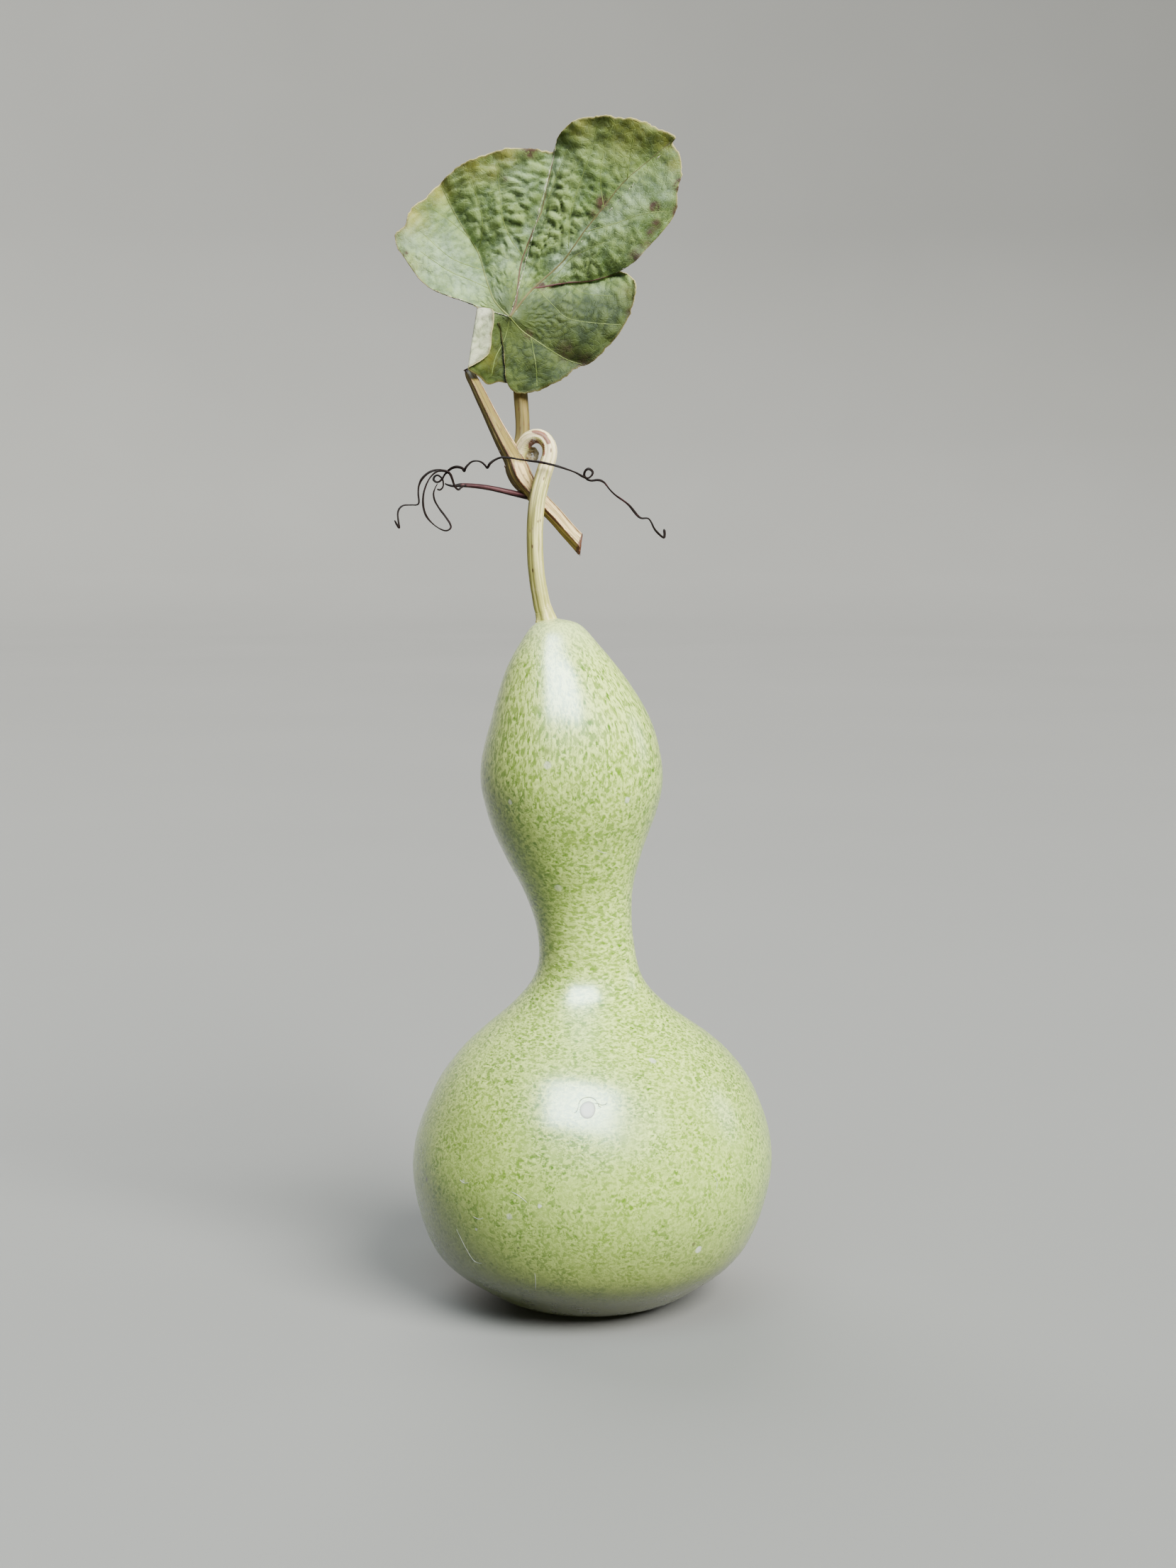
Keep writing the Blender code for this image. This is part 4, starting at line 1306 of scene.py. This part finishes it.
def tendril_mesh():
    """The grooved stalk, and each arm as a slightly flattened wire that twists along its length."""
    bm = bmesh.new()
    middle, radii = route_lines(TENDRIL_STALK, 12)

    def grooved(ring, along, angle, out, radius):
        return radius * (1 + 0.12 * math.cos(3 * angle + 0.5) + 0.05 * noise.noise(middle[ring] * 400.0))

    stalk_verts, _ = sweep(bm, middle, radii, 18, grooved)
    pales = bm.verts.layers.float["pale"]
    tones = bm.verts.layers.float["tone"]
    grain = bm.verts.layers.float_vector["grain"]
    for vert in stalk_verts:
        angle = math.degrees(math.atan2(vert[grain].y, vert[grain].x))
        # A pale stripe down the stalk's front is a painted highlight.
        vert[pales] = 0.6 * hill(abs(angle), 25, 22)
        vert[tones] = max(0.0, (-0.060 - vert.co.x) / (6 * MM))
    for points, thick, thin in TENDRIL_ARMS:
        line = [p * MM for p in smooth_curve(points, 8)]
        count = len(line) - 1
        thickness = []
        for i, place in enumerate(line):
            radius = 0.04 + thick + (thin - thick) * i / count + 0.14 * noise.noise(place * 170.0)
            thickness.append(radius * MM * min(1.0, 0.4 + 0.2 * (count - i)))

        def ribbon(ring, along, angle, out, radius):
            return radius * (1 + 0.25 * math.cos(2 * angle + along * 240.0))

        arm_verts, _ = sweep(bm, line, thickness, 8, ribbon)
        for vert in arm_verts:
            vert[tones] = 0.75 + 0.5 * noise.noise(vert.co * 90.0)
    bmesh.ops.recalc_face_normals(bm, faces=bm.faces)
    return bm


tendril_finish = stem_finish(
    "tendril_skin",
    skin=(0.060, 0.022, 0.024),
    deep=(0.032, 0.013, 0.015),
    face=(0.15, 0.065, 0.065),
    blush=(0.012, 0.007, 0.006),
    speck_strength=0.0,
    roughness=0.55,
    gloss=0.06,
)
add_piece("tendril_wires", tendril_mesh(), [tendril_finish], "tendril_skin", "tendril")

# ------------------------------------------------------------------------------------------------
# The side bud: a downy shoot tip in the leaf's corner, curled over itself. The same white down
# covers the vine's side and the hook of the fruit's stalk where they meet.
# ------------------------------------------------------------------------------------------------
# The bud's middle line from the node to its tip, with its radius, and its scales in the same way.
SIDE_BUD = [
    (-33.6, 5.6, 409.0, 1.2),
    (-32.8, 6.6, 414.0, 1.3),
    (-31.8, 6.2, 418.0, 1.5),
    (-30.6, 5.4, 421.6, 1.6),
    (-28.2, 4.6, 422.9, 1.5),
    (-26.4, 4.0, 421.4, 1.3),
    (-26.6, 3.6, 419.0, 1.2),
    (-28.6, 3.6, 418.2, 1.1),
    (-29.6, 4.0, 419.8, 0.9),
    (-28.6, 4.2, 420.8, 0.7),
]
BUD_SCALES = [
    ((-30.6, 4.4, 419.6), 1.4),
    ((-29.2, 3.6, 422.6), 0.9),
    ((-26.6, 3.6, 422.4), 0.8),
    ((-25.9, 3.4, 419.6), 0.8),
    ((-31.2, 4.2, 417.4), 1.0),
]
BUD_MIDDLE = Vector((-28.4, 4.4, 420.4)) * MM
BUD_HAIRS = 420
STEM_HAIRS = 450
HAIR_LENGTH = 1.5
BUD_HAIR_RADIUS = 0.03
STEM_HAIR_RADIUS = 0.025
# Each downy stretch of stem: its route, how finely that is stepped, its rings, and the side it is on.
DOWNY_STRETCHES = [
    (VINE, VINE_STEPS, 84, 205, -1.5),
    (FRUIT_STALK, FRUIT_STALK_STEPS, 215, 285, -1.2),
]


def bud_mesh():
    """The bud's curled tip swept along its route, with knobbly young scales on it."""
    bm = bmesh.new()
    middle, radii = route_lines(SIDE_BUD, 12)

    def knobbly(ring, along, angle, out, radius):
        return radius * (1 + 0.22 * noise.noise((middle[ring] + out * radius) * 620.0))

    sweep(bm, middle, radii, 24, knobbly)
    for place, radius in BUD_SCALES:
        scale = bmesh.ops.create_icosphere(bm, subdivisions=3, radius=radius * MM)["verts"]
        for vert in scale:
            vert.co *= 1 + 0.25 * noise.noise(vert.co * 800.0 + Vector(place))
            vert.co += Vector(place) * MM
    bmesh.ops.recalc_face_normals(bm, faces=bm.faces)
    return bm


bud_finish, bud_shader = new_finish("bud_down", 0.85, Sheen_Weight=0.4)
bud_place = node(bud_finish, "TexCoord").outputs["Object"]
bud_tone = cloud(bud_finish, bud_place, 900.0, 3.0, 0.6)
bud_share = eased(bud_finish, bud_tone, 0.35, 0.65)
bud_colour = mixed(bud_finish, bud_share, (0.20, 0.13, 0.05), (0.55, 0.48, 0.28))
wire(bud_finish, bud_colour, bud_shader.inputs["Base Color"])
roughen(bud_finish, bud_shader, bud_tone, 0.6, 0.4)
bud_bm = bud_mesh()
bud_tree = BVHTree.FromBMesh(bud_bm)
add_piece("side_bud_knob", bud_bm, [bud_finish], "bud_felt", "side_bud")


def add_hair(bm, root, way, length, radius):
    """One hair: a three-sided cone that stands at a place and leans the given way."""
    hair = bmesh.ops.create_cone(
        bm, segments=3, radius1=radius, radius2=radius * 0.25, depth=length, cap_ends=True
    )["verts"]
    turn = way.to_track_quat("Z", "Y").to_matrix()
    for vert in hair:
        vert.co = root + turn @ (vert.co + Vector((0, 0, length * 0.45)))


def thrown(dice, way, bias=0.0):
    """A way thrown off at random, by more towards the top if there is a bias."""
    off = Vector((dice.gauss(0, 0.4), dice.gauss(0, 0.4), dice.gauss(bias, 0.4)))
    return (way + off).normalized()


def down_mesh():
    """All the hairs in one mesh: a coat on the bud, then the two downy stretches of stem."""
    bm = bmesh.new()
    dice = random.Random(11)
    for _ in range(BUD_HAIRS):
        way = Vector((dice.gauss(0, 1), dice.gauss(-0.5, 1), dice.gauss(0, 1))).normalized()
        root, _, _, _ = bud_tree.ray_cast(BUD_MIDDLE + way * 8 * MM, -way)
        if root:
            lean = thrown(dice, way)
            length = HAIR_LENGTH * dice.uniform(0.3, 0.8) * MM
            add_hair(bm, root, lean, length, BUD_HAIR_RADIUS * MM)
    for route, steps, first, last, side_angle in DOWNY_STRETCHES:
        middle, radii = route_lines(route, steps)
        frames_here = line_frames(middle)
        for _ in range(STEM_HAIRS):
            ring = dice.randrange(first, last)
            angle = side_angle + dice.gauss(0, 0.55)
            _, side, other = frames_here[ring]
            way = side * math.cos(angle) + other * math.sin(angle)
            lean = thrown(dice, way, 0.2)
            root = middle[ring] + way * radii[ring] * 0.98
            length = HAIR_LENGTH * dice.uniform(0.3, 0.85) * MM
            add_hair(bm, root, lean, length, STEM_HAIR_RADIUS * MM)
    bmesh.ops.recalc_face_normals(bm, faces=bm.faces)
    return bm


down_finish, down_shader = new_finish("white_down", 0.6)
down_tone = cloud(down_finish, node(down_finish, "TexCoord").outputs["Object"], 500.0)
down_colour = mixed(down_finish, down_tone, (0.62, 0.58, 0.48), (0.80, 0.78, 0.70))
wire(down_finish, down_colour, down_shader.inputs["Base Color"])
add_piece("white_down", down_mesh(), [down_finish], "bud_felt")

bpy.context.view_layer.update()
